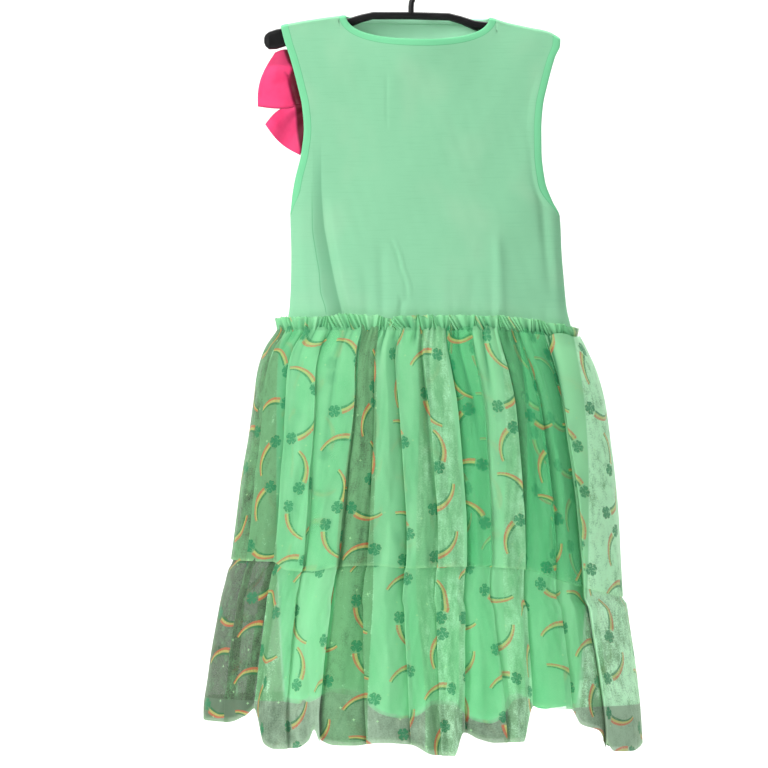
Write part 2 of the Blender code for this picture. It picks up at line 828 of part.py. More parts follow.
def bow_knot(name, finish, collection):
    mesh = bpy.data.meshes.new(name)
    shape = bmesh.new()
    cage = Vector(KNOT_SIZE) * KNOT_CAGE_GROWTH * MM
    bmesh.ops.create_cube(shape, size=1.0, matrix=Matrix.Diagonal(cage).to_4x4())
    shape.to_mesh(mesh)
    shape.free()
    obj = add_object(name, mesh, finish, collection, sharp_degrees=80)
    reach_x = 0.4 * KNOT_SIZE[0]
    reach_z = 0.45 * KNOT_SIZE[2]
    places = [(sx * reach_x, sz * reach_z) for sx in (-1, 1) for sz in (-1, 1)]
    deepest = min(bow_front(KNOT_X + dx, KNOT_DOWN + dz) for dx, dz in places)
    seat = deepest + BOW_CLEAR - 0.5 * KNOT_SIZE[1] - 2 * SEAM_GAP
    obj.location = Vector((KNOT_X, seat, -KNOT_DOWN)) * MM
    soft = obj.modifiers.new("soft", "SUBSURF")
    soft.levels = 2
    soft.render_levels = 2
    return obj


# Hanger


def hanger_sections():
    outs = [HANGER_END, 160, 156, 148, 130, 110, 88, 70, 55, 42, 20]
    places = [-out for out in outs] + [0.0] + list(reversed(outs))
    sections = []
    for x in places:
        out = abs(x)
        top = HANGER_TOP + HANGER.at("drop", out) - HANGER_TILT * x
        height = HANGER.at("height", out)
        thick = HANGER_HALF_THICK * (1 - HANGER_END_TAPER * smoothstep(HANGER_TAPER_START, HANGER_END, out))
        round_z = min(thick, 0.5 * height)
        ring = []
        for low, start in ((0, 0.0), (1, math.pi)):
            centre = top + round_z if low == 0 else top + height - round_z
            for k in range(5):
                angle = start + math.pi * k / 4
                ring.append((x, thick * math.cos(angle), -centre + round_z * math.sin(angle)))
        sections.append(ring)
    return sections


def hook_route():
    """Centre line of the hook: up the stem, round the back and over the rail."""
    radius = HOOK_INSIDE_RADIUS + HOOK_ROD_RADIUS
    route = [(0.0, -HANGER_TOP - 4.0), (0.0, -55.0), (-0.6, -49.5), (-3.0, -44.0)]
    for k in range(HOOK_STEPS + 1):
        angle = math.radians(HOOK_STEM_ANGLE - HOOK_SWEEP * k / HOOK_STEPS)
        route.append((radius * math.cos(angle), -HOOK_INSIDE_RADIUS + radius * math.sin(angle)))
    return route


def hanger(name, finish, collection, helpers):
    body = loft(name, hanger_sections(), False, finish, collection)
    curve = bpy.data.curves.new("hook", "CURVE")
    curve.dimensions = "3D"
    curve.bevel_depth = HOOK_ROD_RADIUS * MM
    curve.bevel_resolution = 2
    curve.use_fill_caps = True
    route = hook_route()
    spline = curve.splines.new("POLY")
    spline.points.add(len(route) - 1)
    for point, (x, z) in zip(spline.points, route):
        point.co = (x * MM, 0.0, z * MM, 1.0)
    guide = bpy.data.objects.new("hook_curve", curve)
    helpers.objects.link(guide)
    bpy.context.view_layer.update()
    graph = bpy.context.evaluated_depsgraph_get()
    mesh = bpy.data.meshes.new_from_object(guide.evaluated_get(graph))
    shape = bmesh.new()
    shape.from_mesh(mesh)
    bmesh.ops.remove_doubles(shape, verts=shape.verts, dist=1e-6)
    bmesh.ops.recalc_face_normals(shape, faces=shape.faces)
    shape.to_mesh(mesh)
    shape.free()
    hook = bpy.data.objects.new("hook_tool", mesh)
    hook.matrix_world = guide.matrix_world
    helpers.objects.link(hook)
    bpy.data.objects.remove(guide)
    hook.hide_render = True
    hook.display_type = "WIRE"
    join = body.modifiers.new("hook", "BOOLEAN")
    join.operation = "UNION"
    join.object = hook
    return body


def main():
    for obj in list(bpy.data.objects):
        bpy.data.objects.remove(obj)
    parts = bpy.data.collections.new("tulle_skirt_dress_on_hanger")
    helpers = bpy.data.collections.new("helpers")
    bpy.context.scene.collection.children.link(parts)
    bpy.context.scene.collection.children.link(helpers)

    jersey = material("jersey", MINT, 0.8)
    rib = material("binding_jersey", MINT, 0.75)
    tulle = material("printed_tulle", TULLE_GREEN, 0.7)
    lining = material("skirt_lining", LINING_GREEN, 0.6)
    ribbon = material("bow_ribbon", PINK, 0.45)
    plastic = material("hanger_plastic", BLACK, 0.35)

    hanger("hanger", plastic, parts, helpers)
    back = bodice_panel("bodice_back", 1, BACK_NECK_DROP, jersey, parts)
    front = bodice_panel("bodice_front", -1, FRONT_NECK_DROP, jersey, parts)
    neck_binding("neck_binding_back", 1, BACK_NECK_DROP, back, rib, parts)
    neck_binding("neck_binding_front", -1, FRONT_NECK_DROP, front, rib, parts)
    armhole_binding("armhole_binding_left", 1, back, front, rib, parts)
    armhole_binding("armhole_binding_right", -1, back, front, rib, parts)
    waist_heading("waist_heading_back", 1, tulle, parts)
    waist_heading("waist_heading_front", -1, tulle, parts)
    for name, side, folds, upper_hem, lower_hem in (
        ("back", 1, TULLE_FOLDS_BACK, UPPER_HEM_BACK, LOWER_HEM_BACK),
        ("front", -1, TULLE_FOLDS_FRONT, UPPER_HEM_FRONT, LOWER_HEM_FRONT),
    ):
        tulle_tier("upper_tier_" + name, side, tier_profile, folds, upper_hem, UPPER_ROWS, tulle, parts)
        tulle_tier("lower_tier_" + name, side, lower_profile, folds, lower_hem, LOWER_ROWS, tulle, parts)
    lining_panel("lining_back", 1, LINING_FOLDS_BACK, LINING_HEM_BACK, lining, parts)
    lining_panel("lining_front", -1, LINING_FOLDS_FRONT, LINING_HEM_FRONT, lining, parts)
    bow_loop("bow_loop_outer", 1, ribbon, parts)
    bow_loop("bow_loop_inner", -1, ribbon, parts)
    bow_tail("bow_tail_outer", 1, ribbon, parts)
    bow_tail("bow_tail_inner", -1, ribbon, parts)
    bow_knot("bow_knot", ribbon, parts)


main()
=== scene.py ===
"""Looks of a sleeveless jersey dress with a two-tier printed tulle skirt, hung on a moulded hanger.

Sizes are in millimetres until a mesh is made. +Z is up, the front of the dress faces -Y, and the bow
is on the +X shoulder. "down" is measured down from the hook, "bow" towards +X and "far" towards -X.
"across" runs from 0 at the bow side to 1 at the far side. "side" is 1 on the back, -1 on the front.
Each piece's UV map holds its flat cloth places in metres.
"""

import logging
import math
from collections.abc import Callable, Mapping
from dataclasses import dataclass, field, replace
from enum import Enum

import bpy
import numpy as np
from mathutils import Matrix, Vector


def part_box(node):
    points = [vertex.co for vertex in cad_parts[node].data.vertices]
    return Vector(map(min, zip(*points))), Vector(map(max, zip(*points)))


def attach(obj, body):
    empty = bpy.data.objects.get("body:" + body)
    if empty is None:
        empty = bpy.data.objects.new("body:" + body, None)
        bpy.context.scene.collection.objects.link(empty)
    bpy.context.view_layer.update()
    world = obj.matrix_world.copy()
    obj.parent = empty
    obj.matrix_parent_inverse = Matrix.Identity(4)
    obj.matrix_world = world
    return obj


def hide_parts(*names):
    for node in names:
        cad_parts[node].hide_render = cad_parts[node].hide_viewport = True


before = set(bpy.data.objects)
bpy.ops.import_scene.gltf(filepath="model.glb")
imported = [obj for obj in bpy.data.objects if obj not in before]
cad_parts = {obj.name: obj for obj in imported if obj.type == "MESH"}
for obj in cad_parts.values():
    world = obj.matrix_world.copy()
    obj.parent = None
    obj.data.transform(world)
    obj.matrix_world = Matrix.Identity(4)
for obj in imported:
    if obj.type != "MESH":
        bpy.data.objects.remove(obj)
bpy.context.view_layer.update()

MM = 0.001
TURN = 2 * math.pi
BACK = 1
FRONT = -1
ON_BODICE = ["bodice_back", "bodice_front"]
LOG = logging.getLogger("dress")

Grid = np.ndarray
Value = np.ndarray | float
Numbers = tuple[float, ...]
Material = bpy.types.Material
Piece = bpy.types.Object


class Slot(Enum):
    """Names of the material slots, passed with each cloth piece."""

    JERSEY = "jersey"
    TULLE = "tulle"
    LINING = "lining"
    RIBBON = "ribbon"


# Curves and small sums


def smooth_between(keys: Grid, values: Grid, wanted: Value) -> Grid:
    """Reads a smooth curve through points, which keeps to the range between neighbours.

    Args:
        keys: rising places of the points.
        values: their values.
        wanted: places to read, held to the first and last key.

    Returns:
        The curve's values at the wanted places.
    """
    slopes = np.diff(values) / np.diff(keys)
    tangents = np.concatenate([slopes[:1], np.zeros(len(slopes) - 1), slopes[-1:]])
    before, after = slopes[:-1], slopes[1:]
    even = before * after > 0
    total = np.where(even, before + after, 1.0)
    tangents[1:-1] = np.where(even, 2 * before * after / total, 0.0)
    place = np.clip(wanted, keys[0], keys[-1])
    index = np.clip(np.searchsorted(keys, place, side="right") - 1, 0, len(keys) - 2)
    span = keys[index + 1] - keys[index]
    t = (place - keys[index]) / span
    start = values[index] * (2 * t**3 - 3 * t**2 + 1) + span * tangents[index] * (t**3 - 2 * t**2 + t)
    end = values[index + 1] * (3 * t**2 - 2 * t**3) + span * tangents[index + 1] * (t**3 - t**2)
    return start + end


class Curve:
    """Rows of named columns, read by a smooth curve through the rows of the first column."""

    def __init__(self, columns: str, *rows: Numbers) -> None:
        """Keeps the rows under their columns' names."""
        self.names = columns.split()
        self.table = np.array(rows, float)

    def column(self, name: str) -> Grid:
        """One column's values."""
        return self.table[:, self.names.index(name)]

    def at(self, name: str, key: Value) -> Grid:
        """The named column's curve at a value of the first column."""
        return smooth_between(self.table[:, 0], self.column(name), key)

    def blend(self, names: str, to_second: Value, to_third: Value) -> Grid:
        """Three columns' values, taken from one to the next by two shares."""
        first, second, third = (self.column(name) for name in names.split())
        return first + (second - first) * to_second + (third - second) * to_third


def smoothstep(low: float, high: float, value: Value) -> Grid:
    """0 below low, 1 above high, and a smooth rise between."""
    t = np.clip((value - low) / (high - low), 0.0, 1.0)
    return t * t * (3 - 2 * t)


def hump(distance: Grid, half_width: Value) -> Grid:
    """A soft bell, 1 in the middle and close to 0 beyond twice its half width."""
    return np.exp(-((distance / half_width) ** 2))


def unit(vectors: Grid) -> Grid:
    """The vectors at length 1."""
    return vectors / np.maximum(np.linalg.norm(vectors, axis=-1, keepdims=True), 1e-9)


def run_length(points: Grid) -> Grid:
    """Distance walked along a line of points, from 0 at the first."""
    steps = np.linalg.norm(np.diff(points, axis=0), axis=-1)
    return np.concatenate([[0.0], np.cumsum(steps)])


def mean_run(lines: Grid) -> Grid:
    """The distance walked along each line of points, averaged over the lines."""
    return np.array([run_length(line) for line in lines]).mean(axis=0)


def stacked(*parts: Value) -> Grid:
    """Arrays of one broadcast shape, as the last axis of one array."""
    return np.stack(np.broadcast_arrays(*parts), axis=-1)


def between(start: Value, end: Value, share: Value) -> Grid:
    """The start where share is 0, the end where it is 1, and a straight run between."""
    return start + (end - start) * share


@dataclass(frozen=True)
class Crumple:
    """Fine unevenness of hung cloth: a sum of long waves with fixed, seeded directions."""

    seed: int
    across: float
    along: float
    waves: int = 9

    def at(self, u: Grid, v: Grid) -> Grid:
        """Height from about -1 to 1 at flat places.

        Args:
            u: place across the cloth.
            v: place along the cloth.

        Returns:
            The height at each place.
        """
        draw = np.random.default_rng(self.seed)
        total = np.zeros(np.broadcast(u, v).shape)
        for _ in range(self.waves):
            scale_u, scale_v = draw.uniform(0.6, 1.7, 2) * draw.choice([-1, 1], 2)
            turn = draw.uniform(0, TURN)
            total += np.sin(TURN * (u * scale_u / self.across + v * scale_v / self.along) + turn)
        return total / math.sqrt(2 * self.waves)


# Shader boards


def math_method(operation: str, reflected: bool = False) -> Callable[..., "Socket"]:
    """Makes a method that adds one Math node on a socket and another value.

    Args:
        operation: the node's operation.
        reflected: whether the other value comes first.

    Returns:
        The method.
    """

    def method(self: "Socket", *other: "Feed") -> "Socket":
        """The node's output."""
        return self.board.math(operation, *((*other, self) if reflected else (self, *other)))

    return method


class Socket:
    """A node's output that Python's operators turn into Math nodes."""

    def __init__(self, board: "Board", output: bpy.types.NodeSocket) -> None:
        """Keeps the output and the board that it is on."""
        self.board = board
        self.output = output

    __add__, __radd__ = math_method("ADD"), math_method("ADD", True)
    __sub__, __rsub__ = math_method("SUBTRACT"), math_method("SUBTRACT", True)
    __mul__, __rmul__ = math_method("MULTIPLY"), math_method("MULTIPLY", True)
    __truediv__, __pow__, __abs__ = math_method("DIVIDE"), math_method("POWER"), math_method("ABSOLUTE")
    __gt__, __lt__ = math_method("GREATER_THAN"), math_method("LESS_THAN")


Feed = Socket | float | Numbers


class Board:
    """One material's node tree, with the shader that a finish dresses."""

    def __init__(self, name: str) -> None:
        """Makes an empty material."""
        self.material = bpy.data.materials.new(name)
        self.material.use_nodes = True
        self.tree = self.material.node_tree
        self.shader = self.tree.nodes["Principled BSDF"]

    def node(
        self,
        kind: str,
        settings: Mapping[str, object] | None = None,
        inputs: Mapping[str | int, Feed] | None = None,
        output: str | int = 0,
    ) -> Socket:
        """Adds one node.

        Args:
            kind: the node's type, such as ShaderNodeMath.
            settings: its properties, set first.
            inputs: values or sockets for its inputs, by name or number.
            output: the output to read, by name or number.

        Returns:
            The chosen output.
        """
        made = self.tree.nodes.new(kind)
        for key, value in (settings or {}).items():
            setattr(made, key, value)
        for key, value in (inputs or {}).items():
            self.feed(made.inputs[key], value)
        return Socket(self, made.outputs[output])

    def feed(self, target: bpy.types.NodeSocket, value: Feed) -> None:
        """Links a socket to the target, or sets the target's own value."""
        if isinstance(value, Socket):
            self.tree.links.new(value.output, target)
        else:
            target.default_value = value

    def math(self, operation: str, *values: Feed) -> Socket:
        """One Math node on up to three values."""
        return self.node("ShaderNodeMath", {"operation": operation}, dict(enumerate(values)))

    def mix(self, share: Feed, low: Feed, high: Feed) -> Socket:
        """Colour low where share is 0 and high where it is 1."""
        settings = {"data_type": "RGBA", "clamp_factor": True}
        return self.node("ShaderNodeMix", settings, {0: share, 6: low, 7: high}, 2)

    def scaled(self, vector: Feed, scale: tuple[float, float, float]) -> Socket:
        """A vector times a scale along each axis."""
        return self.node("ShaderNodeVectorMath", {"operation": "MULTIPLY"}, {0: vector, 1: scale})

    def parts(self, vector: Socket) -> tuple[Socket, Socket, Socket]:
        """The vector's three numbers."""
        first = self.node("ShaderNodeSeparateXYZ", None, {0: vector})
        outputs = first.output.node.outputs
        return first, Socket(self, outputs[1]), Socket(self, outputs[2])

    def draws(self, column: Socket, row: Socket) -> tuple[Socket, Socket, Socket]:
        """Three fixed draws from 0 to 1 for each cell of a grid."""
        cell = {"Vector": self.node("ShaderNodeCombineXYZ", None, {0: column, 1: row})}
        return self.parts(self.node("ShaderNodeTexWhiteNoise", {"noise_dimensions": "2D"}, cell, "Color"))

    def geometry(self, output: str) -> Socket:
        """The named value of the surface at the shaded point."""
        return self.node("ShaderNodeNewGeometry", output=output)

    def facing_back(self) -> Socket:
        """1 where the surface faces the back of the dress, and 0 elsewhere."""
        return self.parts(self.geometry("Normal"))[1] > 0.0

    def flat_place(self) -> Socket:
        """The place on the flat cloth, in millimetres."""
        place = self.node("ShaderNodeUVMap", {"uv_map": "flat"})
        return self.scaled(place, (1 / MM, 1 / MM, 0.0))

    def paint(self, name: str) -> Socket:
        """A number that the mesh holds at each point."""
        return self.node("ShaderNodeAttribute", {"attribute_name": name}, None, "Fac")

    def noise(self, place: Socket, scale: float | Numbers, detail: float = 2.0) -> Socket:
        """Soft noise from about 0.3 to 0.7. A scale for each axis stretches it."""
        if isinstance(scale, tuple):
            place, scale = self.scaled(place, scale), 1.0
        return self.node("ShaderNodeTexNoise", None, {"Vector": place, "Scale": scale, "Detail": detail})

    def wave(self, value: Socket, pitch: float) -> Socket:
        """A sine from -1 to 1 that repeats at the pitch."""
        return self.math("SINE", value * (TURN / pitch))

    def ramp(self, value: Socket, low: float, high: float) -> Socket:
        """0 at low, 1 at high and a smooth rise between."""
        settings = {"interpolation_type": "SMOOTHSTEP"}
        return self.node("ShaderNodeMapRange", settings, {0: value, 1: low, 2: high, 3: 0.0, 4: 1.0})

    def between(self, value: Socket, low: float, high: float, soft: float) -> Socket:
        """1 between low and high, with soft edges."""
        return self.ramp(value, low - soft, low + soft) * (1 - self.ramp(value, high - soft, high + soft))

    def bump(self, height: Socket, distance: float, strength: float) -> Socket:
        """A normal that a height in 0 to 1 tilts. distance is the full height in metres."""
        inputs = {"Height": height, "Distance": distance, "Strength": strength}
        return self.node("ShaderNodeBump", None, inputs)

    def dress(self, **sockets: Feed) -> Material:
        """Sets or links the shader's own sockets, named with _ for a space."""
        for name, value in sockets.items():
            self.feed(self.shader.inputs[name.replace("_", " ")], value)
        return self.material


def tone(red: int, green: int, blue: int, light: float = 1.0) -> Numbers:
    """A colour as it is seen on a screen, as the linear colour that a shader takes.

    Args:
        red: 0 to 255.
        green: 0 to 255.
        blue: 0 to 255.
        light: a factor on the linear colour.

    Returns:
        Linear red, green and blue, and 1.
    """
    shares = [value / 255 for value in (red, green, blue)]
    linear = [s / 12.92 if s <= 0.04045 else ((s + 0.055) / 1.055) ** 2.4 for s in shares]
    return (linear[0] * light, linear[1] * light, linear[2] * light, 1.0)


# Finishes


@dataclass(frozen=True)
class JerseyFinish:
    """Fine cotton jersey, with slubs that run with the courses and a knit of small V stitches."""

    name: str = "mint_jersey"
    base: Numbers = tone(132, 193, 153)
    slub: Numbers = tone(118, 180, 140)
    bloom: Numbers = tone(150, 197, 161)
    # Painted shade: this colour darkens the binding's stitched edge, where it steps over the panel, and
    # the pleat's groove.
    seam: Numbers = tone(84, 162, 118)
    # The next two colours: painted shade on the pleat's sloping band, and painted light near the waist
    # seam.
    fold: Numbers = tone(98, 158, 122)
    painted_light: Numbers = tone(158, 222, 178)
    wale: float = 1.05
    course: float = 0.85
    knit_height: float = 0.00016
    stitch_edge: tuple[float, float] | None = None
    pleat_span: tuple[float, float] | None = None
    # Painted light: a lighter colour for faces that look to the back.
    lit_inside: Numbers | None = None

    def make(self) -> Material:
        """Makes the material.

        Two paints steer the pleat's painted shade: "past_pleat" is the distance from its groove,
        in millimetres, and "pleat_share" runs from 0 at its groove to 1 at its foot.

        Returns:
            The new material.
        """
        board = Board(self.name)
        place = board.flat_place()
        slubs = board.noise(place, (0.028, 0.62, 0.0), 3.0)
        clouds = board.noise(place, (0.014, 0.011, 0.0), 2.0)
        colour = board.mix(board.ramp(slubs, 0.52, 0.68) * 0.25, self.base, self.slub)
        colour = board.mix(board.ramp(clouds, 0.45, 0.75) * 0.5, colour, self.bloom)
        x, y, _ = board.parts(place)
        column = abs(board.math("FRACT", x / self.wale) - 0.5) * 2
        row = board.wave(y / self.course + column * 0.5, 1.0)
        height = (1 - column * column) * 0.6 + row * 0.2 + 0.2
        colour = board.mix((1 - height) * 0.22, colour, self.slub)
        # Painted shade darkens the binding's stitched edge, where it steps over the panel, over a groove
        # in the bump.
        if self.stitch_edge:
            seam = board.between(y, *self.stitch_edge, 0.35)
            colour = board.mix(seam * 0.7, colour, self.seam)
            height = height * (1 - seam * 0.8)
        if self.pleat_span:
            top, foot = self.pleat_span
            # Painted shade: a dark line along the pleat's groove, and a band from the groove to the foot
            # that darkens towards the foot.
            line = board.between(board.paint("past_pleat"), -0.5, 0.5, 0.4)
            line = line * board.ramp(y, top - 30, top + 30) * (1 - board.ramp(y, foot - 12, foot))
            share = board.paint("pleat_share")
            band = board.between(share, 0.06, 1.0, 0.06) * (share * 0.42 + 0.24)
            band = band * board.ramp(y, top - 70, top - 10)
            band = band * (1 - board.ramp(y, foot - 30, foot + 20) * 0.6)
            # Painted light, lighter towards the waist seam.
            colour = board.mix(board.ramp(y, foot - 30, foot + 12) * 0.5, colour, self.painted_light)
            colour = board.mix(band, colour, self.fold)
            colour = board.mix(line * 0.75, colour, self.seam)
        # Painted light on faces that look to the back, standing in for light through the thin jersey.
        if self.lit_inside:
            colour = board.mix(board.facing_back(), colour, self.lit_inside)
        return board.dress(Base_Color=colour, Roughness=0.86, Sheen_Weight=0.1, Sheen_Roughness=0.5,
                           Sheen_Tint=tone(190, 245, 205), Specular_IOR_Level=0.15,
                           Normal=board.bump(height + slubs * 0.8, self.knit_height, 0.5))


@dataclass(frozen=True)
class PrintedTulleFinish:
    """Sheer green net with a printed repeat of four-leaf clovers, three-colour arcs and small stars.

    The arcs and clovers sit in bricks, each turned its own way. Seven paints on the mesh steer it:
    "past_foot" and "past_side" are how far a place is below the lining and beside it, in
    millimetres; "gap" is 1 in the middle of a gap between the lining's flutes, and "bare" is how
    open that gap looks; "pale" is how milky the net looks where it lies doubled, and it also holds
    painted light and shade on each fold's band and a painted highlight on its crest; "deep" is the
    painted shade in the creases; "rim" is 1 on the cut edge. With no lining behind, the net's
    colours are darkened as painted shade of the dress's inside seen through it.
    """

    name: str = "printed_tulle"
    # The net over the lining: green where the lining beneath lies in painted shade, pale where the net is
    # doubled and where painted light falls.
    over_green: Numbers = tone(84, 196, 126)
    over_pale: Numbers = tone(160, 232, 176)
    # Net with nothing behind it, and the strip below the lining's hem: the darker of these colours are
    # painted shade of the dress's inside seen through the net.
    alone_dark: Numbers = tone(75, 95, 71)
    alone_green: Numbers = tone(108, 164, 114)
    alone_pale: Numbers = tone(190, 248, 202)
    strip_dark: Numbers = tone(90, 112, 90)
    strip_pale: Numbers = tone(146, 174, 148)
    # Painted shade in the creases, over the lining and with nothing behind it.
    crease: Numbers = tone(22, 112, 66)
    grey_crease_shade: Numbers = tone(52, 84, 56)
    clover: Numbers = tone(10, 118, 74)
    bands: tuple[Numbers, ...] = (tone(190, 88, 56), tone(180, 176, 92), tone(22, 104, 56))
    star: Numbers = tone(176, 232, 168)
    brick: float = 56.0
    brick_height: float = 50.0
    jitter: float = 0.03
    motif_centre: tuple[float, float] = (-5.8, -7.0)
    arc_radius: float = 29.0
    arc_half_turn: float = 36.0
    band_width: float = 2.8
    thin_end: float = 0.5
    clover_away: float = 8.0
    clover_radius: float = 7.4
    star_radius: float = 2.4
    net_pitch: float = 1.7
    net_slant: float = 0.58
    cover_alpha: float = 0.34
    pale_alpha: float = 0.24
    alone_alpha: float = 0.74
    strip_alpha: float = 0.16
    ink_alpha: float = 0.62
    arc_ink: float = 0.76
    clover_ink: float = 0.84
    edge: float = 0.35

    def make(self) -> Material:
        """Makes the material.

        Returns:
            The new material.
        """
        board = Board(self.name)
        place = board.flat_place()
        x, y, _ = board.parts(place)
        pale, deep, rim = (board.paint(paint) for paint in ("pale", "deep", "rim"))
        below = board.ramp(board.paint("past_foot"), -0.7, 0.7)
        beside = board.ramp(board.paint("past_side"), -1.2, 1.2)
        gap = board.ramp(board.paint("gap"), 0.44, 0.56)
        between = gap * board.paint("bare")
        cover = (1 - below) * (1 - beside) * (1 - between)
        # Painted shade in the creases, weaker where no lining lies behind.
        deep = deep * (cover * 0.5 + 0.5)
        motif_x, motif_y = self.brick_place(board, x, y)
        band, printed = self.arc(board, motif_x, motif_y)
        clover = self.leaf_mask(board, motif_x, motif_y)
        stars = self.star_mask(board, x, y)
        grain = self.grain(board, place, x)
        # Milky where the net lies doubled, with painted light and shade on each fold's band and the net's
        # grain.
        milk_and_light = board.math("MINIMUM", pale, 1.05 - between * 0.5) + (grain - 0.5) * (0.42 - cover * 0.3)
        # With nothing behind, the net is darkened as painted shade of the dress's inside; below the
        # lining's hem it takes the strip's colours.
        alone = board.mix(board.ramp(milk_and_light, 0.0, 0.5), self.alone_dark, self.alone_green)
        alone = board.mix(board.ramp(milk_and_light, 0.6, 1.0), alone, self.alone_pale)
        strip = board.mix(board.ramp(milk_and_light, 0.3, 1.0), self.strip_dark, self.strip_pale)
        alone = board.mix(below * (1 - gap * 0.6), alone, strip)
        # Over the lining: from painted shade on the lining beneath to milky net and painted light.
        over = board.mix(board.ramp(milk_and_light, 0.0, 1.0), self.over_green, self.over_pale)
        colour = board.mix(cover, alone, over)
        colour = board.mix(stars * 0.6, colour, self.star)
        # Painted shade in the creases.
        colour = board.mix(deep, colour, board.mix(cover, self.grey_crease_shade, self.crease))
        colour = board.mix(rim * 0.25, colour, self.star)
        ink = board.math("MAXIMUM", printed, clover)
        fleck = board.noise(place, (0.55, 0.55, 0.0), 2.0)
        ink = ink * (1 - board.ramp(fleck, 0.45, 0.75) * 0.5)
        inked = board.mix(clover, band, self.clover)
        threads = self.threads(board, x, y)
        bare = self.alone_alpha + (grain - 0.5) * 0.1 + below * self.strip_alpha
        alpha = bare + (pale * self.pale_alpha + self.cover_alpha - bare) * cover + threads * 0.04
        alpha = alpha + (0.95 - alpha) * deep * 0.6
        alpha = alpha + (1 - alpha) * ink * self.ink_alpha
        ink = ink * (clover * (self.clover_ink - self.arc_ink) + self.arc_ink)
        return board.dress(Base_Color=board.mix(ink, colour, inked),
                           Alpha=board.math("MINIMUM", alpha, 0.97), Roughness=0.7, Sheen_Weight=0.3,
                           Sheen_Roughness=0.35, Sheen_Tint=tone(196, 236, 190), Specular_IOR_Level=0.2,
                           Normal=board.bump(threads * 0.5 + grain * 0.5, 0.0003, 0.4))

    def brick_place(self, board: Board, x: Socket, y: Socket) -> tuple[Socket, Socket]:
        """Places within each brick, turned by the brick's own angle.

        Args:
            board: the material's board.
            x: place across the cloth.
            y: place along the cloth.

        Returns:
            Turned x and y from its middle.
        """
        wide = x / self.brick
        column = board.math("FLOOR", wide)
        tall = y / self.brick_height + board.math("FRACT", column * 0.618)
        row = board.math("FLOOR", tall)
        turn_share, shift_x, shift_y = board.draws(column, row)
        local_x = (wide - column - 0.5 + (shift_x - 0.5) * self.jitter) * self.brick
        local_y = (tall - row - 0.5 + (shift_y - 0.5) * self.jitter) * self.brick_height
        angle = board.math("FLOOR", turn_share * 7.0) * (TURN / 7)
        cosine, sine = board.math("COSINE", angle), board.math("SINE", angle)
        centre_x, centre_y = self.motif_centre
        return local_x * cosine + local_y * sine + centre_x, local_y * cosine - local_x * sine + centre_y

    def arc(self, board: Board, x: Socket, y: Socket) -> tuple[Socket, Socket]:
        """The banded arc's colour and mask. The arc is widest at the clover's end.

        Args:
            board: the material's board.
            x: place across the brick, turned.
            y: place along it.

        Returns:
            The colour, and 1 on the arc.
        """
        from_middle = y + self.arc_radius * 0.9
        reach = board.math("SQRT", x * x + from_middle * from_middle)
        angle = board.math("ARCTAN2", x, from_middle) * (180 / math.pi)
        end = self.arc_half_turn
        wide = board.ramp(angle, end, -end) * (1 - self.thin_end) + self.thin_end
        offset = (reach - self.arc_radius) / wide
        half, edge = 0.5 * self.band_width, self.edge
        colour = board.mix(board.ramp(offset, edge - half, -edge - half), self.bands[1], self.bands[2])
        colour = board.mix(board.ramp(offset, half - edge, half + edge), colour, self.bands[0])
        across = board.between(offset, -3 * half, 3 * half, edge)
        return colour, across * board.between(angle, -end, end, 1.5)

    def leaf_mask(self, board: Board, x: Socket, y: Socket) -> Socket:
        """Four heart-shaped leaves at the arc's end.

        Args:
            board: the material's board.
            x: place across the brick, turned.
            y: place along it.

        Returns:
            1 on the leaves.
        """
        size = self.clover_radius
        turn = math.radians(self.arc_half_turn) + self.clover_away / self.arc_radius
        dx = abs(x + self.arc_radius * math.sin(turn))
        dy = abs(y - self.arc_radius * (math.cos(turn) - 0.9))
        along = board.math("MAXIMUM", dx, dy) / size
        aside = board.math("MINIMUM", dx, dy) / size
        from_lobe_x, from_lobe_y = along - 0.66, aside - 0.2
        lobe = 0.3 - board.math("SQRT", from_lobe_x * from_lobe_x + from_lobe_y * from_lobe_y)
        wedge = board.math("MINIMUM", along * 0.7 - aside + 0.1, 0.66 - along)
        leaf = board.math("MAXIMUM", lobe, board.math("MINIMUM", wedge, 0.3))
        return board.ramp(leaf * size, -self.edge, self.edge)

    def star_mask(self, board: Board, x: Socket, y: Socket) -> Socket:
        """Small four-point stars between the bricks.

        Args:
            board: the material's board.
            x: place across the cloth.
            y: place along it.

        Returns:
            1 on the stars.
        """
        pitch = self.brick * 0.5
        row = board.math("FLOOR", y / pitch)
        shifted = x / pitch + row * 0.37
        column = board.math("FLOOR", shifted)
        first, second, third = board.draws(column, row)
        dx = abs((shifted - column - 0.2 - first * 0.6) * pitch)
        dy = abs((y / pitch - row - 0.2 - second * 0.6) * pitch)
        size = board.math("SQRT", dx + 0.001) + board.math("SQRT", dy + 0.001)
        star = 1 - board.ramp(size, math.sqrt(self.star_radius) * 0.85, math.sqrt(self.star_radius) * 1.15)
        return star * (third > 0.45)

    def grain(self, board: Board, place: Socket, x: Socket) -> Socket:
        """The grain of nets that lie over each other, from about 0 to 1.

        Args:
            board: the material's board.
            place: the flat place.
            x: place across the cloth.

        Returns:
            The grain.
        """
        drift = board.noise(place, (0.021, 0.008, 0.0), 2.0)
        lines = board.wave(drift * 15.0 + x / 14.0, 1.0)
        blotches = board.noise(place, (0.11, 0.07, 0.0), 3.0)
        specks = board.noise(place, 0.62, 1.0)
        return lines * 0.06 + (blotches - 0.5) * 1.4 + (specks - 0.5) * 1.0 + 0.5

    def threads(self, board: Board, x: Socket, y: Socket) -> Socket:
        """The net's crossed threads, 1 on a thread and 0 in a hole."""
        slant = y * self.net_slant
        rising, falling = (board.wave(place, self.net_pitch) for place in (x + slant, x - slant))
        return board.math("MAXIMUM", abs(rising), abs(falling)) ** 3.0


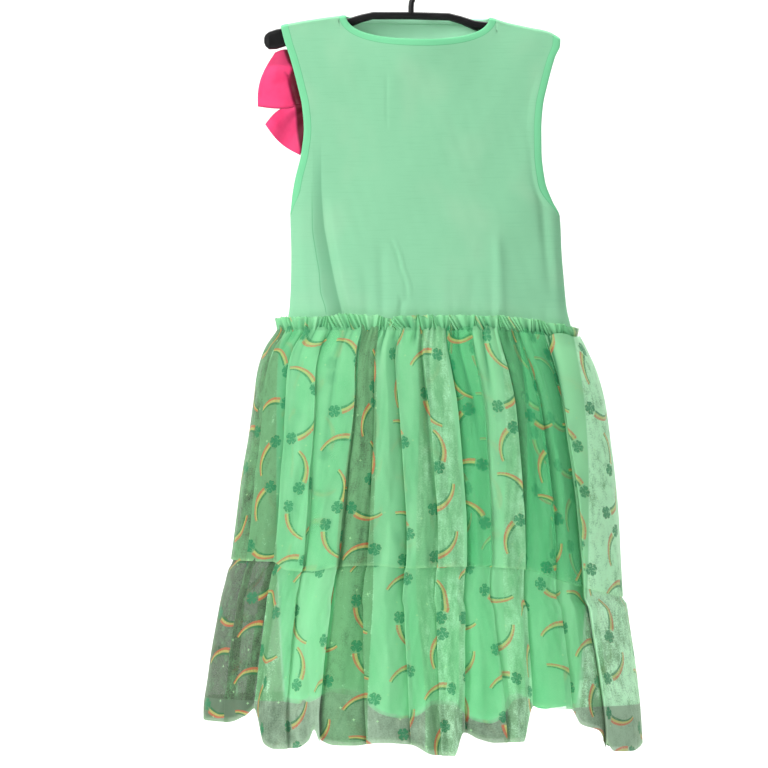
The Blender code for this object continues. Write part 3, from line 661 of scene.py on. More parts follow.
@dataclass(frozen=True)
class LiningFinish:
    """Smooth opaque lining with a fine weave, and a stitched hem."""

    name: str = "green_lining"
    base: Numbers = tone(120, 234, 158)
    deep: Numbers = tone(100, 218, 142)
    thread: Numbers = tone(62, 170, 104)
    weave: float = 0.7
    stitch_pitch: float = 3.0

    def make(self) -> Material:
        """Makes the material. The paint "hem" is the height above the edge.

        Returns:
            The new material.
        """
        board = Board(self.name)
        place = board.flat_place()
        x, y, _ = board.parts(place)
        clouds = board.noise(place, (0.03, 0.012, 0.0), 3.0)
        colour = board.mix(board.ramp(clouds, 0.4, 0.7) * 0.6, self.base, self.deep)
        weave = board.wave(x, self.weave) * board.wave(y, self.weave) * 0.5 + 0.5
        hem = board.paint("hem")
        dash = board.wave(x, self.stitch_pitch) > -0.35
        stitch = board.between(hem, 4.6, 5.4, 0.25) * dash
        fold = board.between(hem, 5.6, 6.4, 0.4)
        colour = board.mix(stitch * 0.8 + fold * 0.3, colour, self.thread)
        return board.dress(Base_Color=colour, Roughness=0.55, Sheen_Weight=0.2, Sheen_Roughness=0.4,
                           Specular_IOR_Level=0.35,
                           Normal=board.bump(weave * 0.5 + stitch * 0.9, 0.00015, 0.4))


@dataclass(frozen=True)
class RibbonFinish:
    """Hot pink ribbon with fine cross ribs and a tight woven edge."""

    name: str = "pink_ribbon"
    base: Numbers = tone(248, 66, 124)
    deep: Numbers = tone(228, 40, 98)
    shadow: Numbers = tone(92, 0, 26)
    rib: float = 0.9
    yarn: float = 0.6

    def make(self) -> Material:
        """Makes the material.

        The paint "edge" is 1 at the ribbon's woven edges, which also take painted shade where the
        ribbon rolls over, and "shade" is 1 where the side that faces the bodice lies in its folds.

        Returns:
            The new material.
        """
        board = Board(self.name)
        place = board.flat_place()
        x, y, _ = board.parts(place)
        ribs, yarns = (board.wave(*wave) * 0.5 + 0.5 for wave in ((x, self.rib), (y, self.yarn)))
        clouds = board.noise(place, (0.05, 0.05, 0.0), 3.0)
        edge = board.paint("edge")
        colour = board.mix(board.ramp(clouds, 0.42, 0.7) * 0.5 + (1 - ribs) * 0.18, self.base, self.deep)
        # Painted shade along the edges, where the ribbon rolls over.
        colour = board.mix(edge * 0.45, colour, self.shadow)
        colour = board.mix(board.paint("shade") * board.facing_back(), colour, self.shadow)
        return board.dress(Base_Color=colour, Roughness=0.52, Sheen_Weight=0.12, Sheen_Roughness=0.35,
                           Sheen_Tint=tone(255, 180, 205), Specular_IOR_Level=0.25,
                           Normal=board.bump(ribs * 0.7 + yarns * 0.2 + edge * 0.6, 0.0002, 0.5))


@dataclass(frozen=True)
class PlasticFinish:
    """Black moulded plastic, finely matt from its mould, with a few worn, dusty spots."""

    name: str = "black_moulded_plastic"
    base: Numbers = tone(7, 7, 8)
    dust: Numbers = tone(22, 22, 23)

    def make(self) -> Material:
        """Makes the material.

        Returns:
            The new material.
        """
        board = Board(self.name)
        place = board.geometry("Position")
        grain, smear = board.noise(place, 2600.0), board.noise(place, 55.0, 4.0)
        rub = board.ramp(smear, 0.52, 0.72)
        return board.dress(Base_Color=board.mix(rub * 0.25, self.base, self.dust),
                           Roughness=rub * 0.18 + 0.42, Specular_IOR_Level=0.22,
                           Normal=board.bump(grain, 0.00006, 0.35))


@dataclass(frozen=True)
class StudioFinish:
    """Plain pale floor and backdrop, with a faint mottle, clear from behind."""

    name: str = "pale_studio"
    base: Numbers = tone(246, 246, 245)
    mottle: Numbers = tone(240, 240, 239)

    def make(self) -> Material:
        """Makes the material.

        Returns:
            The new material.
        """
        board = Board(self.name)
        colour = board.mix(board.noise(board.geometry("Position"), 1.5), self.base, self.mottle)
        return board.dress(Base_Color=colour, Alpha=1 - board.geometry("Backfacing"), Roughness=0.9)


# Meshes


def grid_object(name: str, points: Grid, finish: Material, wraps: bool = False) -> tuple[Grid, Piece]:
    """Makes an object of square faces between a grid's points.

    Args:
        name: the object's name.
        points: rows of points.
        finish: its material.
        wraps: whether the last row joins the first.

    Returns:
        The faces' corners, by point number, and the object.
    """
    rows, columns = points.shape[:2]
    index = np.arange(rows * columns).reshape(rows, columns)
    if wraps:
        index = np.vstack([index, index[:1]])
    corners = [index[:-1, :-1], index[:-1, 1:], index[1:, 1:], index[1:, :-1]]
    faces = np.stack(corners, axis=-1).reshape(-1, 4)
    mesh = bpy.data.meshes.new(name)
    mesh.from_pydata((points.reshape(-1, 3) * MM).tolist(), [], faces.tolist())
    mesh.shade_smooth()
    mesh.materials.append(finish)
    made = bpy.data.objects.new(name, mesh)
    bpy.context.scene.collection.objects.link(made)
    return faces, made


@dataclass
class Sheet:
    """A grid of cloth points, with its flat places and painted values, that makes one piece."""

    name: str
    points: Grid
    flat: Grid
    wall: float = 0.0
    paints: dict[str, Grid] = field(default_factory=dict)
    wraps: bool = False
    turned: bool = False

    def __post_init__(self) -> None:
        """Turns the columns round where the cloth faces the other way."""
        if self.turned:
            self.points, self.flat = self.points[:, ::-1], self.flat[:, ::-1]
            self.paints = {paint: values[:, ::-1] for paint, values in self.paints.items()}

    def make(self, finish: Material, slot: Slot, cut: Numbers, held: str, rests_on: list[str],
             area: float | None = None, node: str | None = None) -> None:
        """Args:
            finish: its material.
            slot: not used.
            cut: not used.
            held: not used.
            rests_on: not used.
            area: not used.
            node: the node it replaces, or None for the one with the sheet's name.
        """
        name = self.name + "_cloth"
        faces, piece = grid_object(name, self.points, finish, self.wraps)
        mesh = piece.data
        uv = mesh.uv_layers.new(name="flat")
        uv.data.foreach_set("uv", self.corner_flat(faces).astype(np.float32).ravel())
        for paint, values in self.paints.items():
            layer = mesh.attributes.new(paint, "FLOAT", "POINT")
            layer.data.foreach_set("value", np.asarray(values, np.float32).ravel())
        LOG.info("%s: %.4f square metres", name, sum(polygon.area for polygon in mesh.polygons))
        if self.wall:
            thick = piece.modifiers.new("wall", "SOLIDIFY")
            thick.thickness = self.wall * MM
            thick.offset = -1.0
        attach(piece, "root")
        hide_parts(node or self.name)

    def corner_flat(self, faces: Grid) -> Grid:
        """Flat place of each face corner. A wrapped grid's last row runs on past its first.

        Args:
            faces: the faces' corners, by point number.

        Returns:
            The places, in metres.
        """
        flat = self.flat.reshape(-1, 2)[faces] * MM
        if self.wraps:
            columns = self.points.shape[1]
            total = 2 * self.flat[-1, 0, 0] - self.flat[-2, 0, 0]
            last = len(faces) - (columns - 1)
            flat[last:, 2:, 0] += total * MM
        return flat


def tube(name: str, sections: Grid, closed: bool) -> Sheet:
    """A closed strip through equal rings of points, as a sheet that meets itself round each ring.

    Args:
        name: the piece's name.
        sections: rings of points.
        closed: whether the last ring joins the first.

    Returns:
        The sheet, with flat places along the strip and round it.
    """
    ring = np.concatenate([sections, sections[:, :1]], axis=1)
    flat = stacked(run_length(sections.mean(axis=1))[:, None], mean_run(ring))
    return Sheet(name, ring, flat, wraps=closed)


# Bodice


@dataclass(frozen=True)
class Crease:
    """A soft trough, or a ridge where its depth is below 0, along a given line."""

    half_width: float
    depth: float
    line: tuple[tuple[float, float], ...]

    def at(self, x: Grid, down: Grid) -> Grid:
        """Depth at each place. The line's points are x and down, from the top.

        Args:
            x: place across.
            down: distance below the hook.

        Returns:
            The depth.
        """
        places = np.array(self.line, float)
        middle = smooth_between(places[:, 1], places[:, 0], down)
        length = places[-1, 1] - places[0, 1]
        share = (down - places[0, 1]) / length
        taper = smoothstep(-0.12, 0.25, share) * (1 - smoothstep(0.78, 1.12, share))
        return self.depth * taper * hump(x - middle, self.half_width)


@dataclass(frozen=True)
class Pleat:
    """A flat fold: a fine groove, a slope down to a crisp line, and a rise back to level."""

    groove: Curve
    foot: Curve
    depth: float
    rise: float
    groove_depth: float = 0.8
    groove_half: float = 0.9

    def at(self, x: Grid, down: Grid) -> Grid:
        """Depth at each place, from the groove towards the far side.

        Args:
            x: place across.
            down: distance below the hook.

        Returns:
            The depth.
        """
        start, end = self.groove.at("x", down), self.foot.at("x", down)
        slope = np.clip((start - x) / (start - end), 0.0, 1.0)
        level = self.depth * slope * (1 - smoothstep(0, self.rise, end - x))
        taper = smoothstep(self.foot.column("down")[0] - 18, self.foot.column("down")[0] + 60, down)
        return taper * level + self.groove_depth * hump(x - start, self.groove_half) * taper**0.5

    def paints(self, x: Grid, down: Grid) -> dict[str, Grid]:
        """The two paints that the jersey's finish reads."""
        start = self.groove.at("x", down)
        share = (start - x) / (start - self.foot.at("x", down))
        return {"past_pleat": np.clip(x - start, -20, 20), "pleat_share": np.clip(share, -2, 3)}


@dataclass
class Bodice:
    """The two jersey panels and the folded strips that bind their neck and armholes."""

    edges: Curve = Curve(
        "down bow far depth",
        (76, 143, 164.5, 9.5), (95, 138, 163.5, 12.5), (112, 132.5, 157.5, 14.5),
        (141, 124.8, 149.6, 17.5), (165, 119.6, 144.6, 19.5), (189, 117.7, 143, 21.5),
        (215, 120.5, 143.3, 23), (247, 128, 147.2, 25), (268, 131.2, 155.1, 26),
        (285, 132, 163, 27), (325, 131, 165, 30), (352, 131.3, 167.2, 33),
        (386, 133, 170.5, 37), (409, 138, 176, 40),
    )
    shoulder: Curve = Curve(
        "x down",
        (-164, 90), (-150, 82.2), (-128, 77.6), (-103, 72), (-86, 66.8), (0, 60), (71, 64.4),
        (110, 69.4), (143, 75.4),
    )
    back_creases: tuple[Crease, ...] = (
        Crease(7, -1, ((121, 250), (120, 300), (117, 350), (112, 404))),
        Crease(5.5, 3, ((-133, 205), (-137.5, 243), (-143, 265), (-147, 305), (-155, 365))),
        Crease(7, -1.6, ((-151, 310), (-158, 350), (-162, 404))),
        Crease(2.2, 1.1, ((21, 312), (14.4, 330.5), (11.2, 344), (5.6, 361), (5, 374))),
        Crease(1.6, -1.5, ((17.5, 312), (11, 330.5), (7.9, 344), (2.5, 361), (2, 374))),
        Crease(2, 0.9, ((12, 370), (11, 392), (9, 408))),
        Crease(5, 1.3, ((33, 315), (32, 350), (31, 392))),
        Crease(4, 1, ((5, 372), (13, 390), (15, 408))),
        Crease(1.8, 0.5, ((26.5, 128), (26.8, 160), (26.4, 190))),
        Crease(3, 0.8, ((20, 92), (8, 101), (-12, 110))),
        Crease(6, -2.6, ((-94, 305), (-96.8, 350), (-97, 404))),
        Crease(28, 2.6, ((-126, 300), (-129, 350), (-131, 408))),
        Crease(7, 0.9, ((-68, 345), (-66, 375), (-64, 408))),
        Crease(8, -0.8, ((-34, 340), (-36, 372), (-38, 408))),
        Crease(6, 0.9, ((52, 335), (49, 370), (47, 408))),
        Crease(30, 1.4, ((60, 120), (66, 200), (62, 260))),
        Crease(34, 1.2, ((-92, 120), (-98, 190), (-92, 270))),
    )
    front_creases: tuple[Crease, ...] = (
        Crease(8, 3.4, ((106, 220), (105, 290), (99, 340), (94, 404))),
        Crease(6, -1.4, ((118, 255), (116, 310), (110, 404))),
        Crease(15, 2, ((84, 300), (76, 350), (72, 404))),
        Crease(7, 3.2, ((-135, 210), (-142, 270), (-150, 330), (-152, 404))),
        Crease(9, -1.5, ((-122, 320), (-126, 360), (-130, 404))),
        Crease(3, 1.4, ((-22, 330), (-14, 360), (-18, 392))),
        Crease(8, -1.3, ((30, 320), (34, 360), (32, 404))),
        Crease(7, 1.1, ((-60, 335), (-64, 370), (-66, 408))),
        Crease(30, 1.6, ((-80, 125), (-86, 200), (-78, 270))),
        Crease(28, 1.4, ((58, 120), (64, 190), (58, 260))),
    )
    back_pleat: Pleat = Pleat(
        Curve("down x", (245, 108.5), (293, 108.5), (327, 104.2), (347, 100.8), (367, 99.3),
            (386, 94), (410, 91)),
        Curve("down x", (256, 98.5), (293, 96.4), (317, 92.4), (342, 87.5), (365, 82.6), (389, 76.7),
            (410, 72)),
        5.6, 12.0)
    wall: float = 0.7
    exponent: float = 2.3
    neck_middle: float = -7.2
    neck_half: float = 78.6
    neck_drops: tuple[float, float] = (30.5, 4.5)
    gape: float = 11.0
    gape_spread: float = 52.0
    gape_start: float = 78.0
    gape_end: float = 165.0
    ridge_radius: float = 2.6
    armhole_foot: float = 285.0
    foot_rise: float = 7.0
    foot_bend: float = 34.0
    foot_run: float = 30.0
    widen: float = 0.25
    arm_binding: float = 8.0
    neck_binding: float = 7.0
    binding_proud: float = 0.8
    binding_lap: float = 1.4
    slope_start: float = 85.0
    slope_end: float = 110.0
    seam: float = 409.5
    seam_drop: float = 9.0
    drop_start: float = 90.0
    drop_end: float = 185.0
    shoulder_columns: int = 44
    neck_columns: int = 120
    ridge_rows: int = 12
    armhole_rows: int = 70
    side_rows: int = 56
    ridge_drop: float = 3.0
    pinch_count: int = 26
    pinch_spans: tuple[Numbers, ...] = ((14, 46), (0.25, 0.8), (2.2, 4.6))

    def seam_down(self, x: Value) -> Grid:
        """Down of the waist seam, which falls a little towards the far side."""
        return self.seam + self.seam_drop * smoothstep(self.drop_start, self.drop_end, -x)

    def middle(self, down: Value) -> Grid:
        """x of the body's middle."""
        foot = np.maximum(down, self.armhole_foot)
        return 0.5 * (self.edges.at("bow", foot) - self.edges.at("far", foot))

    def half(self, down: Value) -> Grid:
        """Half width of the whole body's oval, which runs on past the armholes."""
        foot = np.maximum(down, self.armhole_foot)
        body = 0.5 * (self.edges.at("bow", foot) + self.edges.at("far", foot))
        return body + self.widen * np.maximum(self.armhole_foot - down, 0.0)

    def depth(self, x: Value, down: Value) -> Grid:
        """Distance of the jersey's outer face from the shoulder seam's plane.

        Args:
            x: place across.
            down: distance below the hook.

        Returns:
            The distance at each place.
        """
        across = np.minimum(np.abs(x - self.middle(down)) / self.half(down), 1.0)
        oval = (1 - across**self.exponent) ** (1 / self.exponent)
        gape = self.gape * hump(np.asarray(x - self.neck_middle), self.gape_spread)
        gape = gape * (1 - smoothstep(self.gape_start, self.gape_end, down))
        depth = self.edges.at("depth", down) * oval + gape
        below = np.clip((down - self.shoulder.at("down", x)) / self.ridge_radius, 0.0, 1.0)
        return depth * np.sqrt(1 - (1 - below) ** 2)

    def point(self, side: int, x: Value, down: Value) -> Grid:
        """Points on the outer face."""
        return stacked(x, side * self.depth(x, down), -np.asarray(down, float))

    def normal(self, side: int, x: Value, down: Value) -> Grid:
        """Directions out of the outer face."""
        along_x = self.point(side, x + 1, down) - self.point(side, x - 1, down)
        along_z = self.point(side, x, down - 1) - self.point(side, x, down + 1)
        return unit(np.cross(along_z, along_x) * side)

    def bound_edge(self, sign: int, down: Value) -> Grid:
        """x of the bound edge, which is the side seam below the armhole."""
        return self.edges.at("bow", down) if sign > 0 else -self.edges.at("far", down)

    def panel_edge(self, sign: int, down: Value) -> Grid:
        """x of the jersey's own edge, where the binding starts."""
        past = smoothstep(self.armhole_foot - self.foot_run, self.armhole_foot, down)
        return self.bound_edge(sign, down) - sign * self.arm_binding * (1 - past)

    def share_x(self, share: Value, down: Value) -> Grid:
        """x of a column at a height. share is -1 at the far edge and 1 at the bow edge."""
        return between(self.panel_edge(-1, down), self.panel_edge(1, down), 0.5 * (share + 1))

    def neck_down(self, x: Value, drop: float, grow: float) -> Grid:
        """Down of the neck edge at x. grow moves the edge out from the neck."""
        t = np.clip((x - self.neck_middle) / (self.neck_half + grow), -1.0, 1.0)
        return self.shoulder.at("down", x) + (drop + grow) * np.sqrt(1 - t * t)

    def columns(self) -> tuple[Grid, Grid]:
        """Shares of the columns, and whether each starts at the neck.

        Returns:
            The shares from -1 to 1, and a mask of those in the neck.
        """
        ends = []
        for sign in (-1, 1):
            x = self.neck_middle + sign * (self.neck_half + self.neck_binding)
            down = self.shoulder.at("down", x)
            low, high = self.panel_edge(-1, down), self.panel_edge(1, down)
            ends.append(float(2 * (x - low) / (high - low) - 1))
        far, bow = ends
        quarter = np.sin(0.5 * np.pi * np.arange(self.shoulder_columns + 1) / self.shoulder_columns)
        left = far - (far + 1) * quarter[::-1]
        right = bow + (1 - bow) * quarter
        turn = np.sin(np.pi * (np.arange(1, self.neck_columns) / self.neck_columns - 0.5))
        middle = 0.5 * (far + bow) + 0.5 * (bow - far) * turn
        shares = np.concatenate([left, middle, right])
        in_neck = np.zeros(len(shares), bool)
        in_neck[len(left):len(left) + len(middle)] = True
        return shares, in_neck

    def tops(self, shares: Grid, in_neck: Grid, drop: float) -> Grid:
        """Down where each column starts, on the shoulder or at the neck binding's lower edge.

        Args:
            shares: the columns, from -1 to 1.
            in_neck: which of them start at the neck.
            drop: how deep the neck is.

        Returns:
            The down of each column's first point.
        """
        down = np.full(len(shares), 80.0)
        for _ in range(16):
            x = self.share_x(shares, down)
            neck = self.neck_down(x, drop, self.neck_binding)
            target = np.where(in_neck, neck, self.shoulder.at("down", x))
            down = down + 0.7 * (target - down)
        return down

    def rows(self, tops: Grid, shares: Grid) -> Grid:
        """Down of each point: over the shoulder's ridge, along the armhole and to the waist.

        Args:
            tops: where each column starts.
            shares: the columns, from -1 to 1.

        Returns:
            The downs, rows from the top.
        """
        turn = np.linspace(0, 0.5 * np.pi, self.ridge_rows)
        ridge = tops + self.ridge_drop * (1 - np.cos(turn))[:, None]
        foot = self.seam_down(self.share_x(shares, self.seam))
        counts = self.armhole_rows, self.side_rows
        armhole, side = (np.linspace(0, 1, rows + 1)[1:, None] for rows in counts)
        return np.vstack([ridge, between(ridge[-1], self.armhole_foot, armhole),
                          between(self.armhole_foot, foot, side)])

    def relief(self, side: int, x: Grid, down: Grid) -> Grid:
        """How far the folds move the jersey in, in millimetres.

        Args:
            side: BACK or FRONT.
            x: place across.
            down: distance below the hook.

        Returns:
            The inset at each place.
        """
        creases = self.back_creases if side > 0 else self.front_creases
        total = sum(crease.at(x, down) for crease in creases)
        if side > 0:
            total = total + self.back_pleat.at(x, down)
        draw = np.random.default_rng(41 + side)
        above = np.maximum(self.seam_down(x) - down, 0.0)
        for place in np.linspace(-160, 126, self.pinch_count) + draw.uniform(-4, 4, self.pinch_count):
            reach, depth, width = (draw.uniform(*span) for span in self.pinch_spans)
            total = total + depth * hump(above, reach) * hump(x - place - 0.05 * above, width)
        total = total + 0.55 * Crumple(7 + side, 95.0, 150.0).at(x, down)
        return total + 0.12 * Crumple(17 + side, 26.0, 60.0).at(x, down)

    def panel(self, name: str, side: int, finish: Material) -> Grid:
        """Makes one jersey panel.

        Args:
            name: the piece's name.
            side: BACK or FRONT.
            finish: its material.

        Returns:
            Its grid of outer points, rows from the top and columns from the far edge.
        """
        shares, in_neck = self.columns()
        drop = self.neck_drops[side < 0]
        downs = self.rows(self.tops(shares, in_neck, drop), shares)
        x = self.share_x(shares[None, :], downs)
        points = self.point(side, x, downs)
        out = self.normal(side, x, downs)
        from_edge = np.minimum(x - self.panel_edge(-1, downs), self.panel_edge(1, downs) - x)
        calm = smoothstep(0, 9, from_edge) * smoothstep(0, 14, downs - downs[:1])
        room = 0.75 * np.abs(points[..., 1])
        depth = np.minimum(self.relief(side, x, downs) * calm, room)
        points = points - out * depth[..., None]
        flat = stacked(mean_run(points), downs)
        paints = self.back_pleat.paints(x, downs) if side > 0 else {}
        sheet = Sheet(name, points, flat, self.wall, paints, turned=side > 0)
        sheet.make(finish, Slot.JERSEY, (0.335, 0.355), "hung", ["hanger"], area=0.1)
        return points

    def section(self) -> Grid:
        """The folded strip's round section: share of the width, and height in millimetres."""
        proud = self.binding_proud
        return np.array([
            (0.0, -0.75), (-0.02, -0.2), (0.0, 0.3), (0.06, 0.62), (0.18, proud), (0.5, proud + 0.12),
            (0.8, proud), (0.94, 0.45), (1.0, -0.15), (0.97, -0.85), (0.82, -1.35), (0.5, -1.45),
            (0.2, -1.3), (0.05, -1.05),
        ])

    def strip(self, inner: Grid, outer: Grid, normal: Grid, closed: bool) -> Grid:
        """Rings of a strip that laps the panel's edge.

        Args:
            inner: points on the panel's edge.
            outer: points on the bound edge.
            normal: directions out of the cloth.
            closed: whether the strip meets itself.

        Returns:
            One ring of points for each stop.
        """
        ahead, back = np.roll(inner, -1, axis=0), np.roll(inner, 1, axis=0)
        along = unit(ahead - back if closed else np.gradient(inner, axis=0))
        out = outer - inner
        square = unit(out - along * (out * along).sum(axis=1, keepdims=True))
        start = inner - square * self.binding_lap
        reach = outer - start
        share, height = self.section()[None, :, :1], self.section()[None, :, 1:]
        return start[:, None] + reach[:, None] * share + normal[:, None] * height

    def armhole(self, name: str, sign: int, back: Grid, front: Grid,
                finish: Material) -> None:
        """Makes the binding round one armhole, from both panels' edge points.

        Args:
            name: the piece's name.
            sign: 1 for the bow side and -1 for the far side.
            back: the back panel's outer points.
            front: the front panel's.
            finish: its material.
        """
        edge = -1 if sign > 0 else 0
        rows = self.ridge_rows + self.armhole_rows
        rings = []
        for side, points in ((BACK, back), (FRONT, front)):
            inner = points[:rows, edge]
            down = -inner[:, 2]
            rise = self.foot_rise * smoothstep(self.armhole_foot - self.foot_bend, self.armhole_foot, down)
            outer_x = self.bound_edge(sign, down - rise)
            fall = self.shoulder.at("down", outer_x) - self.shoulder.at("down", inner[:, 0])
            outer_down = down - rise + fall * (1 - smoothstep(self.slope_start, self.slope_end, down))
            outer = self.point(side, outer_x, outer_down)
            middle_x = outer_x - sign * 0.5 * self.arm_binding
            safe_down = np.maximum(outer_down, self.shoulder.at("down", outer_x) + 2)
            normal = np.array([self.normal(side, mx, d) for mx, d in zip(middle_x, safe_down)])
            rings.append([inner, outer, normal])
        for stop, direction in ((0, (0, 0, 1)), (-1, (sign, 0, 0))):
            for part in range(2):
                shared = 0.5 * (rings[0][part][stop] + rings[1][part][stop])
                rings[0][part][stop] = shared
            rings[0][2][stop] = direction
        loop = [np.concatenate([a, b[-2:0:-1]]) for a, b in zip(*rings)]
        sections = self.strip(*loop, closed=True)
        tube(name, sections, True).make(finish, Slot.JERSEY, (0.02, 0.47), "stretched", ON_BODICE)

    def neck(self, name: str, side: int, points: Grid, finish: Material) -> None:
        """Makes one half of the neck binding, along the top of a panel's neck columns.

        Args:
            name: the piece's name.
            side: BACK or FRONT.
            points: the panel's outer points.
            finish: its material.
        """
        first = self.shoulder_columns
        inner = points[0, first:first + self.neck_columns + 1]
        drop = self.neck_drops[side < 0]
        turn = (inner[:, 0] - self.neck_middle) / (self.neck_half + self.neck_binding)
        turn[0], turn[-1] = -1.0, 1.0
        outer_x = self.neck_middle + self.neck_half * turn
        outer = self.point(side, outer_x, self.neck_down(outer_x, drop, 0.0))
        places = zip(0.5 * (inner[:, 0] + outer_x), -inner[:, 2])
        normal = np.array([self.normal(side, x, down) for x, down in places])
        normal[0] = normal[-1] = (0, 0, 1)
        sections = self.strip(inner, outer, normal, closed=False)
        if side < 0:
            sections = sections[::-1]
        tube(name, sections, False).make(finish, Slot.JERSEY, (0.018, 0.2), "stretched", ON_BODICE)

    def build(self) -> None:
        """Makes the panels and bindings."""
        # Painted light for the inner faces of the front and of its neck binding.
        inside = tone(186, 252, 212)
        inside_lit = JerseyFinish(name="inside_lit_jersey", lit_inside=inside).make()
        ribbed = JerseyFinish(name="binding_jersey", base=tone(116, 199, 148), slub=tone(106, 186, 138),
                              bloom=tone(124, 204, 154), stitch_edge=(1.1, 2.7))
        rib = ribbed.make()
        inside_lit_rib = replace(ribbed, name="inside_lit_binding", lit_inside=inside).make()
        pleated = JerseyFinish(name="pleated_jersey", pleat_span=(262, 398)).make()
        back = self.panel("bodice_back", BACK, pleated)
        front = self.panel("bodice_front", FRONT, inside_lit)
        self.armhole("armhole_binding_left", 1, back, front, rib)
        self.armhole("armhole_binding_right", -1, back, front, rib)
        self.neck("neck_binding_back", BACK, back, rib)
        self.neck("neck_binding_front", FRONT, front, inside_lit_rib)


# Skirt


@dataclass(frozen=True)
class Oval:
    """A skirt layer's flattened oval at each height."""

    profile: Callable[[str, Grid], Grid]
    exponent: float = 2.3

    def at(self, side: int, across: Grid, down: Grid, inset: Value = 0.0) -> Grid:
        """Points on the oval, moved in along its normal.

        Args:
            side: BACK or FRONT.
            across: 0 at the bow side to 1 at the far side.
            down: distance below the hook.
            inset: distance moved in.

        Returns:
            The points.
        """
        bow, far, depth = (self.profile(column, down) for column in ("bow", "far", "depth"))
        half = 0.5 * (bow + far)
        u = 1 - 2 * across
        v = np.maximum(1 - np.abs(u) ** self.exponent, 0.0) ** (1 / self.exponent)
        power = self.exponent - 1
        normal = unit(stacked(np.sign(u) * np.abs(u) ** power / half, v**power / depth))
        x = 0.5 * (bow - far) + half * u - normal[..., 0] * inset
        y = np.maximum(depth * v - normal[..., 1] * inset, 0.0)
        return stacked(x, side * y, -np.asarray(down, float))

    def x(self, across: Grid, level: float) -> Grid:
        """x of places across, at one height."""
        return self.at(BACK, across, np.full_like(across, level))[..., 0]


def calm_ends(share: Grid, reach: float) -> Grid:
    """1 along the cloth, and a smooth fall to 0 at both ends."""
    return smoothstep(0.0, reach, share) * (1 - smoothstep(1 - reach, 1.0, share))


@dataclass(frozen=True)
class Gathers:
    """Small pleats that start at the waist seam, uneven in place, depth and length."""

    seed: int
    count: int = 38
    depth: float = 3.2
    shortest: float = 12.0
    longest: float = 210.0

    def at(self, share: Grid, below: Grid) -> tuple[Grid, Grid]:
        """Inset of the pleats, and the painted shade in their creases.

        Args:
            share: place across the cloth, 0 to 1.
            below: distance below the seam.

        Returns:
            The inset in millimetres, and the creases' painted shade from 0 to 1.
        """
        draw = np.random.default_rng(self.seed)
        pitch = 1 / self.count
        total = np.zeros(np.broadcast(share, below).shape)
        lines = np.zeros_like(total)
        for index in range(self.count):
            place = (index + 0.5 + draw.uniform(-0.4, 0.4)) * pitch
            strength = draw.uniform(0.35, 1.2)
            length = self.shortest + (self.longest - self.shortest) * draw.uniform(0, 1) ** 3.0
            lean = draw.uniform(-0.9, 0.9) * pitch
            spread = pitch * (0.24 + 0.5 * smoothstep(0, 1.6 * length, below))
            fade = 0.5 + 0.5 * smoothstep(0, 8, below)
            fade = fade * (1 - smoothstep(0.4 * length, 1.5 * length, below))
            away = share - place - lean * smoothstep(0, 120, below)
            total += self.depth * strength * fade * hump(away, spread)
            # Painted shade along each pleat's crease.
            line = min(strength, 1.0) * (fade + 0.6 * hump(below, 7.0)) * hump(away, 0.4 * spread)
            lines = np.maximum(lines, line * (0.6 + 0.3 * min(length / 80, 1.0)))
        return total, np.minimum(lines, 1.0)


